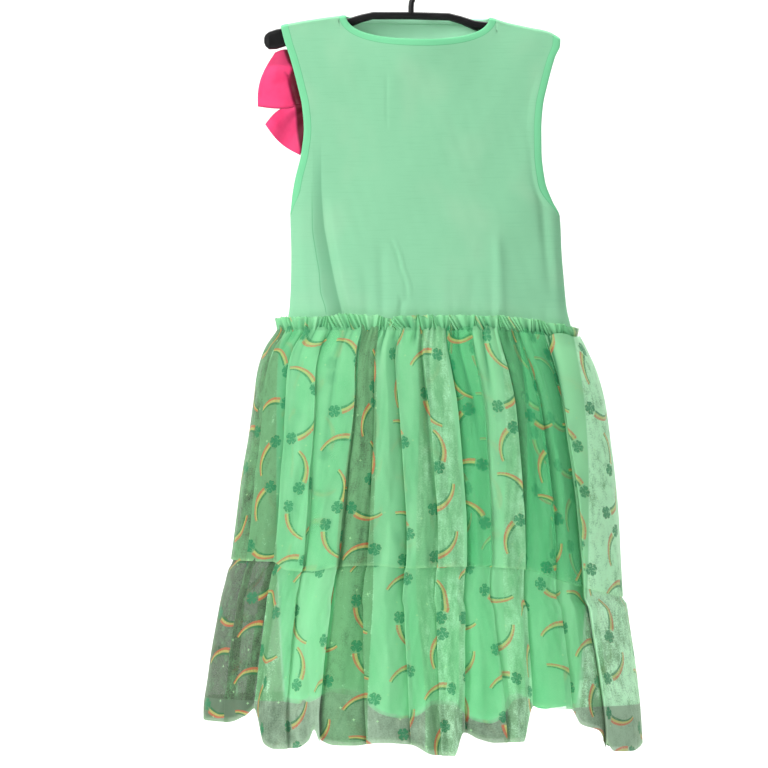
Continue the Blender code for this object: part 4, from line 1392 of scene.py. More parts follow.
@dataclass
class TullePanel:
    """One gathered panel of printed tulle."""

    name: str
    side: int
    oval: Oval
    folds: Curve
    hem: Curve
    gathers: Gathers
    flat: tuple[float, float]
    print_shift: tuple[float, float]
    crumple_seed: int
    # The fold table's column for each band's paleness, and the first band's: milky doubled net, partly
    # painted light and shade.
    tones: str = "tone"
    first_tone: float = 0.32
    crown: float = 0.0
    crown_reach: float = 8.0
    columns: int = 520
    rows: int = 84
    rim: float = 1.4
    crowding: float = 0.6
    edge: float = 0.05
    fade: float = 0.26
    most_tuck: float = 9.0

    def edges(self, skirt: "Skirt", level: float) -> tuple[Grid, Grid]:
        """Where the large folds' edges lie at a level, and how deep they are.

        Args:
            skirt: holds the shared sizes.
            level: distance below the hook.

        Returns:
            The edges' places across, and the folds' depths.
        """
        to_tier = smoothstep(skirt.seam, skirt.tier_level, level)
        to_hem = smoothstep(skirt.tier_level, skirt.hem_level, level)
        depths = between(self.folds.column("tier_depth"), self.folds.column("hem_depth"), to_hem)
        return self.folds.blend("top tier hem", to_tier, to_hem), depths

    def tuck(self, past: Grid) -> Grid:
        """How the cloth runs on over its fold's edge, turns back under it and comes level again.

        Args:
            past: place past the fold's edge, from -0.5 to 0.5.

        Returns:
            The run, from -0.5 to 0.5.
        """
        before = 0.5 * smoothstep(-0.5, -self.edge, past)
        turning = 0.5 - smoothstep(-self.edge, self.edge, past)
        after = 0.5 * smoothstep(self.edge, 0.5, past) - 0.5
        return np.where(past < -self.edge, before, np.where(past > self.edge, after, turning))

    def build(self, skirt: "Skirt", finish: Material) -> None:
        """Makes the panel.

        Args:
            skirt: holds the shared sizes.
            finish: its material.
        """
        over, shade = self.folds.column("over"), self.folds.column("shade")
        count = len(over)
        even = np.linspace(0, count, self.columns)
        phase = even + self.crowding * np.sin(TURN * even) / TURN
        stops = np.concatenate([[0.0], np.arange(count) + 0.5, [float(count)]])
        fold = np.minimum(phase.astype(int), count - 1)
        past = (phase - fold - 0.5) * over[fold]
        sink = smoothstep(-self.edge, self.edge, past) * np.expm1((0.5 - past) / self.fade)
        sink = np.maximum(sink / np.expm1(0.5 / self.fade), 0.0)
        tuck = over[fold] * self.tuck(past)
        # Each band's paleness: milky doubled net, partly painted light and shade.
        tones = np.concatenate([[self.first_tone], self.folds.column(self.tones)])
        tones = tones[np.minimum((phase + 0.5).astype(int), count)]
        share = phase / count
        length = share * skirt.tulle_width
        points, below_seam, creases, crests = [], [], [], []
        for step in (np.arange(self.rows) / (self.rows - 1)) ** 1.3:
            level = skirt.seam + (float(self.hem.at("down", 0.5)) - skirt.seam) * step
            edges, depths = self.edges(skirt, level)
            across = smooth_between(stops, np.concatenate([[0.0], edges, [1.0]]), phase)
            wide = self.oval.profile("bow", level) + self.oval.profile("far", level)
            turned = np.minimum(0.62 * depths, self.most_tuck) * skirt.opening.at("share", wide * step)
            across = np.clip(across + tuck * (turned / wide)[fold], 0.0, 1.0)
            top = skirt.bodice.seam_down(self.oval.x(across, level))
            down = top + (self.hem.at("down", across) - top) * step
            below = down - top
            pleats, lines = self.gathers.at(share, below)
            inset = depths[fold] * sink * skirt.opening.at("share", below) + pleats
            limp = smoothstep(20, 160, below)
            inset = inset + limp * 1.3 * (1 + Crumple(self.crumple_seed, 46.0, 210.0).at(length, below))
            inset = inset + limp * 0.4 * Crumple(self.crumple_seed + 1, 14.0, 60.0).at(length, below)
            flutter = smoothstep(0.8, 1.0, step) * np.sin(length / 9.0 + 3 * np.sin(share * 23))
            room = skirt.room(self.oval, down)
            inset = room * np.tanh((inset + 1.6 * flutter) / room)
            ends = calm_ends(share, 0.012)
            notch = np.clip(pleats / (0.4 * self.gathers.depth), 0.0, 1.0)
            uneven = 1 + 0.5 * Crumple(self.crumple_seed + 9, 34.0, 400.0).at(length, 0.0)
            crest = self.crown * uneven * (1 - notch) * hump(below, self.crown_reach)
            points.append(self.oval.at(self.side, across, down - crest, (inset - 0.25 * crest) * ends))
            below_seam.append(below)
            # Painted shade for "deep": a dark line at each fold's edge, a shadow fading past it, and the
            # gathers' creases. Before each edge the crest is paler, where the net doubles, partly a
            # painted highlight.
            strong = np.minimum(depths / 14.0, 1.0)[fold] * smoothstep(-6, 20, below)
            away = np.abs(past) * wide / count
            line = hump(past * wide / count - 0.6, 1.3) * strong * (1 - 0.5 * smoothstep(120, 330, below))
            shadow = 0.62 * strong * smoothstep(-0.02, 0.02, past) * np.exp(-away / shade[fold])
            creases.append(np.maximum(np.maximum(0.9 * line, shadow), lines))
            crests.append(strong * hump(past * wide / count + 1.0, 1.0))
        points, below_seam, creases, crests = (
            np.array(rows) for rows in (points, below_seam, creases, crests))
        foot = self.hem.at("down", across)
        rim = 1 - smoothstep(0.4 * self.rim, 1.6 * self.rim, foot[None, :] + points[..., 2])
        clouds = Crumple(self.crumple_seed + 5, 60.0, 160.0).at(length[None, :], below_seam)
        pale = np.clip(tones[None, :] + 0.09 * clouds + 0.35 * crests, 0, 1.05)
        along = run_length(points[int(0.8 * self.rows)])
        flat = stacked(along, below_seam) + np.array(self.print_shift)
        paints = {"pale": pale, "deep": creases, "rim": rim}
        paints |= skirt.cloth_lining.behind(skirt, self.side, points)
        sheet = Sheet(self.name, points, flat, paints=paints, turned=self.side > 0)
        sheet.make(finish, Slot.TULLE, self.flat, "gathered", ON_BODICE)


@dataclass
class Lining:
    """The opaque lining: deep flutes with rounded hem lobes, and a stitched hem."""

    # bare: how far the net over each gap takes the darker colours of net with nothing behind it, as
    # painted shade of the recessed lining.
    back_folds: Curve = Curve(
        "top tier hem half_top half_tier half_hem depth bare",
        (0.03, 0.044, 0.069, 0.006, 0.007, 0.009, 12, 0),
        (0.3, 0.25, 0.203, 0.029, 0.06, 0.079, 27, 1),
        (0.37, 0.372, 0.375, 0.014, 0.014, 0.014, 3, 0),
        (0.513, 0.523, 0.541, 0.047, 0.078, 0.063, 25, 0.6),
        (0.66, 0.672, 0.684, 0.014, 0.014, 0.014, 4, 0),
        (0.778, 0.761, 0.796, 0.033, 0.036, 0.038, 21, 0.5),
        (0.905, 0.915, 0.925, 0.012, 0.014, 0.016, 5, 0),
    )
    front_folds: Curve = Curve(
        "top tier hem half_top half_tier half_hem depth bare",
        (0.07, 0.065, 0.06, 0.012, 0.014, 0.018, 11, 0),
        (0.21, 0.195, 0.18, 0.03, 0.045, 0.06, 24, 0.8),
        (0.34, 0.35, 0.36, 0.014, 0.014, 0.016, 4, 0),
        (0.5, 0.495, 0.49, 0.04, 0.055, 0.065, 26, 0.6),
        (0.64, 0.65, 0.66, 0.014, 0.014, 0.016, 5, 0),
        (0.79, 0.8, 0.81, 0.03, 0.04, 0.05, 22, 0.7),
        (0.93, 0.928, 0.925, 0.012, 0.012, 0.014, 6, 0),
    )
    back_hem: Curve = Curve("across down", (0, 814), (0.04, 817), (0.12, 820), (0.33, 830),
        (0.6, 836), (0.7, 837), (0.8, 828), (0.9, 825), (1, 820))
    front_hem: Curve = Curve("across down", (0, 814), (0.3, 822), (0.6, 828), (1, 820))
    wall: float = 0.5
    hem_rise: float = 20.0
    flat_depth: float = 6.0
    full_depth: float = 20.0
    steepness: float = 5.0
    far: float = 40.0
    length: float = 520.0
    columns: int = 240
    rows: int = 70

    def folds(self, side: int) -> Curve:
        """The flutes of one side."""
        return self.back_folds if side > 0 else self.front_folds

    def hem(self, side: int) -> Curve:
        """The hem of one side."""
        return self.back_hem if side > 0 else self.front_hem

    def gaps(self, skirt: "Skirt", side: int, across: Grid, down: Grid) -> Grid:
        """How far each place lies in each gap between flutes.

        Args:
            skirt: holds the shared sizes.
            side: BACK or FRONT.
            across: places across, 0 to 1.
            down: distances below the hook, as many.

        Returns:
            0 on a flute to 1 in a gap, with the gaps in the last axis.
        """
        folds = self.folds(side)
        to_tier = smoothstep(skirt.seam, skirt.tier_level, down)[..., None]
        to_hem = smoothstep(skirt.tier_level, skirt.hem_level - 20, down)[..., None]
        middle = folds.blend("top tier hem", to_tier, to_hem)
        half = folds.blend("half_top half_tier half_hem", to_tier, to_hem)
        return 1 / (1 + np.abs((across[..., None] - middle) / half) ** self.steepness)

    def foot(self, skirt: "Skirt", side: int, across: Grid) -> Grid:
        """Down of the hem, whose lobes are round because it rises into the gaps.

        Args:
            skirt: holds the shared sizes.
            side: BACK or FRONT.
            across: places across, 0 to 1.

        Returns:
            The hem's down at each place.
        """
        low = np.full(np.shape(across), skirt.hem_level)
        share = smoothstep(self.flat_depth, self.full_depth, self.folds(side).column("depth"))
        rise = (self.gaps(skirt, side, across, low) ** 0.6 * share).max(axis=-1)
        return self.hem(side).at("down", across) - self.hem_rise * rise

    def behind(self, skirt: "Skirt", side: int, points: Grid) -> dict[str, Grid]:
        """Where points of the tulle lie over the lining.

        Args:
            skirt: holds the shared sizes.
            side: BACK or FRONT.
            points: the tulle's points.

        Returns:
            Four paints: how far each point is below the hem and beside the lining, in millimetres,
            0 on a flute to 1 in an open gap, and how open that gap looks.
        """
        down = -points[..., 2]
        bow, far = skirt.lining.at("bow", down), skirt.lining.at("far", down)
        half = 0.5 * (bow + far)
        u = (points[..., 0] - 0.5 * (bow - far)) / half
        across = np.clip(0.5 - 0.5 * u, 0.0, 1.0)
        gaps = self.gaps(skirt, side, across, down) * (self.folds(side).column("bare") > 0)
        return {
            "past_foot": np.clip(down - self.foot(skirt, side, across), -self.far, self.far),
            "past_side": np.clip((np.abs(u) - 1) * half, -self.far, self.far),
            "gap": gaps.max(axis=-1),
            "bare": gaps @ self.folds(side).column("bare") / np.maximum(gaps.sum(axis=-1), 1e-6),
        }

    def build(self, skirt: "Skirt", finish: Material) -> None:
        """Makes both panels."""
        oval = Oval(skirt.lining.at)
        self.panel("lining_back", BACK, oval, skirt, finish)
        self.panel("lining_front", FRONT, oval, skirt, finish)

    def panel(self, name: str, side: int, oval: Oval, skirt: "Skirt", finish: Material) -> None:
        """Makes one panel.

        Args:
            name: the piece's name.
            side: BACK or FRONT.
            oval: the lining's oval.
            skirt: holds the shared sizes.
            finish: its material.
        """
        even = np.linspace(0, 1, self.columns)
        across = 0.65 * even + 0.35 * (0.5 - 0.5 * np.cos(np.pi * even))
        depths = self.folds(side).column("depth")
        foot = self.foot(skirt, side, across)
        points, above = [], []
        for step in np.linspace(0, 1, self.rows):
            level = skirt.seam + (float(self.hem(side).at("down", 0.5)) - skirt.seam) * step
            top = skirt.bodice.seam_down(oval.x(across, level))
            down = top + (foot - top) * step
            below = down - top
            inset = (self.gaps(skirt, side, across, down) * depths).sum(axis=-1)
            inset = inset * skirt.opening.at("share", 0.7 * below)
            flow = Crumple(60 + side, 120.0, 300.0).at(across * self.length, below)
            ripple = Crumple(63 + side, 34.0, 150.0).at(across * self.length, below)
            inset = inset + smoothstep(0, 80, below) * (1.2 + 1.2 * flow + 0.4 * ripple)
            edge = calm_ends(across, 0.02)
            points.append(oval.at(side, across, down, np.maximum(inset, 0.0) * edge))
            above.append(foot - down)
        points, above = np.array(points), np.array(above)
        along = run_length(points[int(0.8 * self.rows)])
        flat = stacked(along, -points[..., 2] - skirt.seam)
        sheet = Sheet(name, points, flat, self.wall, {"hem": above}, turned=side > 0)
        sheet.make(finish, Slot.LINING, (0.5, 0.43), "gathered", ON_BODICE)


@dataclass
class Skirt:
    """The two tulle tiers, their standing heading and the lining under them."""

    upper: Curve = Curve(
        "down bow far depth",
        (410, 147.4, 182.6, 46), (432, 161.7, 194, 58), (457, 169.4, 205, 66),
        (491, 173.8, 214, 72), (530, 179.3, 219.5, 77.5), (568, 186, 224.4, 82.5),
        (618, 192.5, 229, 88), (660, 198, 231, 92), (704, 206, 233.5, 95),
    )
    flare: Curve = Curve(
        "down bow far depth",
        (664, 199.5, 231.5, 92.5), (685, 204, 234, 94), (704, 209, 237, 95),
        (732, 214.3, 240.5, 98), (763, 219.9, 245.3, 101), (793, 224, 249.3, 103),
        (828, 228.6, 253, 105), (877, 227.5, 256, 107),
    )
    flare_spans: Mapping[str, tuple[float, float]] = field(default_factory=lambda: {
        "bow": (662.0, 676.0), "far": (701.0, 713.0), "depth": (706.0, 742.0)
    })
    lining: Curve = Curve(
        "down bow far depth",
        (410, 140, 177, 41.8), (440, 145.5, 182.5, 45), (491, 147, 190, 49),
        (568, 147, 194, 54), (650, 146.5, 193.5, 58), (720, 144.5, 191, 60),
        (780, 141, 187.5, 61.5), (840, 136.5, 180.5, 62),
    )
    opening: Curve = Curve("below share", (0, 0.06), (12, 0.26), (30, 0.55), (60, 0.82), (110, 1))
    tier_space: Curve = Curve("below space", (0, 1.7), (15, 2.8), (40, 4.5), (210, 4.5), (285, 1.8),
        (400, 1.8))
    # tone and low_tone: each band's paleness in the upper and lower tier, milky doubled net and partly
    # painted light and shade; shade: how far the painted shadow reaches past each edge, in millimetres.
    back_folds: Curve = Curve(
        "top tier hem tier_depth hem_depth over shade tone low_tone",
        (0.03, 0.04, 0.05, 7, 8, -1, 6, 0.5, 0.1),
        (0.09, 0.118, 0.124, 12, 14, -1, 9, 0.58, 0.6),
        (0.17, 0.185, 0.19, 8, 6, 1, 3, 0.52, 0.8),
        (0.283, 0.269, 0.262, 15, 13, 1, 3, 0.4, 0.46),
        (0.345, 0.35, 0.372, 6, 9, -1, 3, 0.66, 0.74),
        (0.41, 0.455, 0.475, 14, 12, -1, 12, 0.62, 0.6),
        (0.49, 0.53, 0.54, 5, 5, -1, 2, 0.72, 0.72),
        (0.563, 0.596, 0.589, 14, 16, 1, 7, 0.15, 0.55),
        (0.65, 0.665, 0.687, 6, 9, 1, 3, 0.72, 0.75),
        (0.735, 0.75, 0.745, 9, 15, 1, 6, 0.1, 0.55),
        (0.805, 0.83, 0.838, 8, 12, 1, 3, 0.22, 0.7),
        (0.885, 0.908, 0.922, 15, 16, -1, 13, 0.95, 0.85),
    )
    front_folds: Curve = Curve(
        "top tier hem tier_depth hem_depth over shade tone low_tone",
        (0.04, 0.045, 0.055, 8, 9, -1, 5, 0.5, 0.3),
        (0.115, 0.1, 0.095, 13, 12, -1, 9, 0.75, 0.6),
        (0.2, 0.215, 0.23, 7, 10, 1, 3, 0.4, 0.75),
        (0.27, 0.3, 0.32, 14, 15, 1, 8, 0.25, 0.5),
        (0.36, 0.385, 0.395, 8, 6, -1, 3, 0.7, 0.65),
        (0.43, 0.45, 0.47, 12, 14, -1, 10, 0.6, 0.75),
        (0.52, 0.515, 0.53, 6, 8, 1, 3, 0.35, 0.6),
        (0.6, 0.61, 0.625, 15, 14, 1, 7, 0.2, 0.55),
        (0.68, 0.7, 0.705, 7, 9, -1, 3, 0.72, 0.8),
        (0.765, 0.78, 0.79, 13, 12, -1, 9, 0.4, 0.6),
        (0.85, 0.86, 0.85, 7, 9, 1, 3, 0.55, 0.7),
        (0.93, 0.925, 0.93, 12, 14, 1, 8, 0.7, 0.7),
    )
    upper_hems: tuple[Curve, Curve] = (
        Curve("across down", (0, 662), (0.11, 662), (0.15, 671), (0.21, 672), (0.27, 667),
            (0.36, 665), (0.45, 668), (0.6, 666), (0.74, 669), (0.86, 685), (1, 703)),
        Curve("across down", (0, 662), (0.11, 665), (0.24, 690), (0.45, 697), (0.7, 696), (1, 703)),
    )
    lower_hems: tuple[Curve, Curve] = (
        Curve("across down", (0, 838), (0.05, 838), (0.096, 830), (0.118, 821), (0.14, 859),
            (0.165, 865), (0.215, 863), (0.24, 855), (0.253, 843), (0.266, 855), (0.3, 860),
            (0.345, 860), (0.4, 857), (0.47, 859), (0.522, 870), (0.567, 871), (0.592, 846),
            (0.625, 853), (0.66, 857), (0.726, 856), (0.752, 818), (0.8, 821), (0.843, 822),
            (0.858, 838), (0.9, 846), (0.932, 869), (0.976, 870), (1, 864)),
        Curve("across down", (0, 838), (0.06, 840), (0.095, 834), (0.113, 826), (0.133, 865),
            (0.16, 873), (0.205, 872), (0.236, 864), (0.249, 853), (0.262, 865), (0.3, 870),
            (0.345, 871), (0.4, 868), (0.467, 870), (0.515, 880), (0.57, 882), (0.595, 857),
            (0.62, 862), (0.655, 867), (0.733, 866), (0.76, 826), (0.83, 828), (0.855, 831),
            (0.873, 846), (0.906, 851), (0.937, 872), (0.98, 872), (1, 864)),
    )
    heading_rise: Curve = Curve("across rise", (0, 11), (0.03, 14), (0.2, 14.3), (0.24, 17.4),
        (0.32, 17.4), (0.37, 12), (0.412, 8.8), (0.432, 15.6), (0.64, 16.5), (0.8, 15.6), (0.95, 14.6),
        (0.985, 13), (1, 10))
    seam: float = 409.5
    tier_level: float = 670.0
    hem_level: float = 860.0
    tulle_width: float = 700.0
    least_room: float = 1.4
    layer_apart: float = 0.6
    heading_tufts: int = 74
    heading_waves: int = 16
    heading_lean: float = 0.018
    heading_rows: int = 17
    heading_columns: int = 1000
    bodice: Bodice = field(default_factory=Bodice)
    cloth_lining: Lining = field(default_factory=Lining)

    def lower_profile(self, column: str, down: Grid) -> Grid:
        """The upper tier's oval moved in, which opens out below that tier's hem."""
        under = self.upper.at(column, down) - self.tier_space.at("space", down - self.seam)
        share = smoothstep(*self.flare_spans[column], down)
        return under * (1 - share) + self.flare.at(column, down) * share

    def room(self, oval: Oval, down: Grid) -> Grid:
        """How far a tulle layer can move in before it meets the lining.

        Args:
            oval: the layer's oval.
            down: distance below the hook.

        Returns:
            The room at each place.
        """
        gap = oval.profile("depth", down) - self.lining.at("depth", down)
        if oval.profile != self.lower_profile:
            gap = gap - self.tier_space.at("space", down - self.seam)
        return np.maximum(gap - self.layer_apart, self.least_room)

    def heading(self, name: str, side: int, finish: Material) -> None:
        """Makes the gathered edge that stands above the seam: up, over its fold and down inside.

        Args:
            name: the piece's name.
            side: BACK or FRONT.
            finish: its material.
        """
        oval = Oval(self.upper.at)
        share = np.linspace(0, 1, self.heading_columns)
        draw = np.random.default_rng(90 + side)
        tufts = self.heading_tufts
        widths = draw.uniform(0.3, 2.0, tufts)
        knots = np.concatenate([[0.0], np.cumsum(widths)]) / widths.sum()
        groups = np.linspace(0, 1, tufts // 2 + 1)
        waves = np.linspace(0, 1, self.heading_waves + 1)
        tall = self.heading_rise.at("rise", share)
        tall = tall * np.interp(share, waves, draw.uniform(0.94, 1.05, self.heading_waves + 1))
        lean = self.heading_lean * np.interp(share, groups, draw.uniform(-1.1, 2.2, tufts // 2 + 1))
        frays, fine = (
            np.interp(share, np.linspace(0, 1, many + 1), draw.uniform(-1, 1, many + 1))
            for many in (6 * tufts, 3 * tufts))
        # Painted shade: how dark each tuft's valleys and root are.
        tuft_shade = np.interp(share, knots, draw.uniform(0.0, 1.0, tufts + 1) ** 1.5)
        pale = np.interp(share, knots, draw.uniform(0.55, 1.0, tufts + 1))
        phase = TURN * np.interp(share, knots, np.arange(tufts + 1.0))
        ends = calm_ends(share, 0.012)
        points, creases, tones = [], [], []
        for row in range(self.heading_rows):
            turn = row / (self.heading_rows - 1)
            lift = math.sin(math.pi * turn) ** 0.8
            inside = float(smoothstep(0.45, 0.6, turn))
            across = np.clip(share - (lean + 0.003 * inside) * lift, 0, 1)
            valley = 0.5 - 0.5 * np.cos(phase + 1.9 * inside * lift)
            inset = (1.5 + 0.7 * lift) * valley + 0.7 * lift * fine - 2.2 * lift + 2.4 * inside
            point = oval.at(side, across, np.full_like(share, self.seam), np.minimum(inset, 3.8))
            rise = lift * tall + lift**3 * (1.2 * (0.5 - valley) + 0.9 * frays)
            point[..., 2] = rise - self.bodice.seam_down(oval.x(across, self.seam))
            points.append(point)
            # Painted shade in the valleys between tufts and along their root at the seam; the tufts grow
            # paler towards the top as painted light, over their own random paleness.
            root = (1 - lift) ** 2
            valley_shade = valley**4 * (0.95 - 0.65 * lift) * (0.3 + 0.7 * tuft_shade)
            creases.append((valley_shade + (0.25 + 0.65 * smoothstep(0.4, 0.9, tuft_shade)) * root) * ends)
            tones.append(pale * (0.7 + 0.2 * lift) + 0.1 * lift * fine)
        points, creases, tones = np.array(points), np.clip(creases, 0, 1), np.clip(tones, 0, 1)
        rise = np.abs(points[..., 2] + self.seam)
        flat = stacked(share * self.tulle_width, rise)
        fold = np.sin(np.pi * np.linspace(0, 1, self.heading_rows))[:, None]
        covered, shut = np.full_like(rise, -self.cloth_lining.far), np.zeros_like(rise)
        paints = {"past_foot": covered, "past_side": covered, "gap": shut, "bare": shut, "pale": tones,
                  "deep": creases, "rim": np.broadcast_to(smoothstep(0.97, 1.0, fold), rise.shape)}
        sheet = Sheet(name, points, flat, paints=paints, turned=side > 0)
        sheet.make(finish, Slot.TULLE, (0.7, 0.03), "gathered", ON_BODICE)

    def build(self) -> None:
        """Makes the tiers, the heading and the lining."""
        tulle = PrintedTulleFinish().make()
        edging = PrintedTulleFinish(name="heading_tulle", brick=44.0, cover_alpha=0.5, arc_ink=0.45,
                                    clover_ink=0.35).make()
        upper, lower = Oval(self.upper.at), Oval(self.lower_profile)
        for index, (where, side, folds) in enumerate((
            ("back", BACK, self.back_folds),
            ("front", FRONT, self.front_folds),
        )):
            gathers = Gathers(seed=11 + index)
            TullePanel(f"upper_tier_{where}", side, upper, folds, self.upper_hems[index], gathers,
                       (0.7, 0.27), (13.0 + 31 * index, 7.0), 21 + index, crown=4.0).build(self, tulle)
            TullePanel(f"lower_tier_{where}", side, lower, folds, self.lower_hems[index], gathers,
                       (0.7, 0.46), (47.0 + 23 * index, 33.0), 31 + index, "low_tone",
                       0.05).build(self, tulle)
            self.heading(f"waist_heading_{where}", side, edging)
        self.cloth_lining.build(self, LiningFinish().make())


# Bow


@dataclass
class Bow:
    """The ribbon bow on the front of one shoulder: two loops, two tails and a wrapped knot."""

    bodice: Bodice = field(default_factory=Bodice)
    knot_x: float = 100.0
    knot_down: float = 150.0
    knot_size: tuple[float, float, float] = (15.0, 13.0, 22.0)
    clear: float = 2.2
    wall: float = 0.6
    loop_offset: float = 8.6
    loop_start_half: float = 9.0
    loop_top_end: tuple[float, float] = (50.0, 46.0)
    loop_low_end: tuple[float, float] = (69.0, -13.5)
    fold_bulge: float = 6.5
    low_bulge: float = 4.5
    top_bulge: float = 18.0
    least_apart: float = 4.6
    most_apart: float = 7.6
    tail_offset: float = 2.6
    tail_starts: tuple[float, float] = (1.0, 8.5)
    tail_ends: tuple[tuple[float, float], tuple[float, float]] = ((22.0, -67.3), (60.6, -33.2))
    side_bulge: float = 9.5
    end_bulge: float = 4.5
    shade_edge: Curve = Curve("rise out", (-63, 22.3), (-40, 26.1), (-17, 27.8), (-12.3, 29),
        (8, 33.6), (19.6, 35), (28, 32), (35.5, 36.4), (52.6, 42.5))
    fold_line: Curve = Curve("rise out", (-13, 26), (-4.6, 28.7), (8.2, 32), (19, 34.2),
        (25.4, 40.8))
    fold_half: float = 1.5
    fold_depth: float = 2.2
    flap_foot: float = 30.0
    ripple: float = 2.6
    tail_waves: float = 1.2
    steps: int = 64

    def front_y(self, x: Grid, down: Grid) -> Grid:
        """y just in front of the bodice's front, carried on flat past the armhole."""
        inside = np.minimum(x, self.bodice.panel_edge(1, down) - 2)
        return -self.bodice.depth(inside, down) - self.clear

    def edge_paint(self, v: Grid) -> Grid:
        """1 at the ribbon's woven edges, 0 between them."""
        return np.maximum(1 - smoothstep(0.0, 0.045, v), smoothstep(0.955, 1.0, v))

    def shade(self, out: Grid, rise: Grid) -> Grid:
        """How shadowed the side that faces the bodice is, by place from the knot."""
        return smoothstep(-1.5, 2.5, self.shade_edge.at("out", rise) - out)

    def fold(self, out: Grid, rise: Grid) -> Grid:
        """1 on the line that the loop is folded along, by place from the knot."""
        low, high = self.fold_line.column("rise")[[0, -1]]
        ends = smoothstep(low - 4, low, rise) * (1 - smoothstep(high - 4, high, rise))
        return ends * hump(self.fold_line.at("out", rise) - out, self.fold_half)

    def make(self, name: str, points: Grid, v: Grid, turned: bool,
             finish: Material, flat: tuple[float, float], shade: Grid) -> None:
        """Makes one ribbon piece from a grid that runs along the ribbon and across it.

        Args:
            name: the piece's name.
            points: the grid.
            v: share of the width at each column.
            turned: whether its columns are turned round.
            finish: its material.
            flat: its flat width and length, in metres.
            shade: the paint "shade".
        """
        places = stacked(mean_run(points.transpose(1, 0, 2))[:, None], mean_run(points))
        edge = np.broadcast_to(self.edge_paint(v)[None, :], points.shape[:2])
        sheet = Sheet(name, points, places, self.wall, {"edge": edge, "shade": shade}, turned=turned)
        sheet.make(finish, Slot.RIBBON, flat, "folded", ["bow_knot"])

    def loop(self, name: str, sign: int, finish: Material) -> None:
        """Makes one loop: the ribbon goes out, turns over its fold and comes back to the knot.

        Args:
            name: the piece's name.
            sign: 1 for the bow side and -1 for the far side.
            finish: its material.
        """
        start = 0.5 * self.knot_size[0] + 0.3
        top_start, top_end = np.array((start, self.loop_start_half)), np.array(self.loop_top_end)
        low_start, low_end = np.array((start, -self.loop_start_half)), np.array(self.loop_low_end)
        rest = float(self.front_y(np.array(self.knot_x + 4), np.array(self.knot_down))) - self.loop_offset
        turn = np.linspace(0, np.pi, 2 * self.steps + 1)
        out = np.clip(np.sin(turn), 0, 1) ** 0.75
        leaf = np.cos(turn)
        leaf = np.sign(leaf) * np.abs(leaf) ** 0.35
        apart = self.least_apart + self.most_apart * np.sin(np.pi * np.minimum(out, 0.92)) ** 0.8
        v = np.linspace(0, 1, self.steps // 2 + 1)
        out, leaf, apart = out[:, None], leaf[:, None], apart[:, None]
        reach = out[..., None]
        low, high = between(low_start, low_end, reach), between(top_start, top_end, reach)
        place = between(low, high, v[None, :, None])
        x = place[..., 0] + self.fold_bulge * np.sin(np.pi * v) * out
        z = place[..., 1] + (self.top_bulge * v - self.low_bulge * (1 - v)) * np.sin(np.pi * out)
        pinch = 4.4 * np.cos(TURN * (v - 0.1)) * (1 - out) * out
        rays = 0.9 * np.sin(TURN * (3.2 * v + 0.2))
        rays = rays * smoothstep(1.0, 0.25, out) * smoothstep(0, 0.1, out)
        sag = 1.3 * np.sin(np.pi * out) * np.sin(TURN * (v * 1.3 + 0.1 * leaf + 0.3))
        y = rest + leaf * 0.5 * apart * (0.65 + 0.35 * np.sin(np.pi * v)) + pinch + rays + sag
        fold = self.fold(x, z)
        y = y - self.fold_depth * fold * (leaf > 0)
        shade = np.maximum(self.shade(x, z), 0.3 * smoothstep(self.flap_foot, self.flap_foot + 3, z))
        points = np.stack([self.knot_x + sign * x, y, z - self.knot_down], -1)
        self.make(name, points, v, sign < 0, finish, (0.05, 0.12), np.maximum(shade, 0.45 * fold))

    def tail(self, name: str, sign: int, finish: Material) -> None:
        """Makes one cut end that fans out from under the knot.

        Args:
            name: the piece's name.
            sign: 1 for the bow side and -1 for the far side.
            finish: its material.
        """
        foot = -0.5 * self.knot_size[2] + 0.5
        inner_start, outer_start = (np.array((x, foot)) for x in self.tail_starts)
        inner_end, outer_end = (np.array(end) for end in self.tail_ends)
        along = np.linspace(0, 1, self.steps + 1)[:, None, None]
        v = np.linspace(0, 1, self.steps // 2 + 1)
        inner, outer = between(inner_start, inner_end, along), between(outer_start, outer_end, along)
        place = between(inner, outer, v[None, :, None])
        along = along[..., 0]
        bulge = self.side_bulge * v * np.sin(np.pi * along)
        end = self.end_bulge * along * np.sin(np.pi * v)
        x = place[..., 0] + 0.6 * bulge + 0.7 * end
        z = place[..., 1] + 0.8 * bulge - 0.7 * end
        down = self.knot_down - z
        ripple = self.ripple * along * (1 - np.cos(self.tail_waves * 2 * np.pi * v))
        rays = 0.7 * np.sin(TURN * 3 * v) * (1 - along) * smoothstep(0, 0.12, along)
        world_x = self.knot_x + sign * x
        y = self.front_y(world_x, down) - self.tail_offset - ripple + rays
        points = np.stack([world_x, y, -down], -1)
        self.make(name, points, v, sign > 0, finish, (0.04, 0.062), self.shade(x, z))

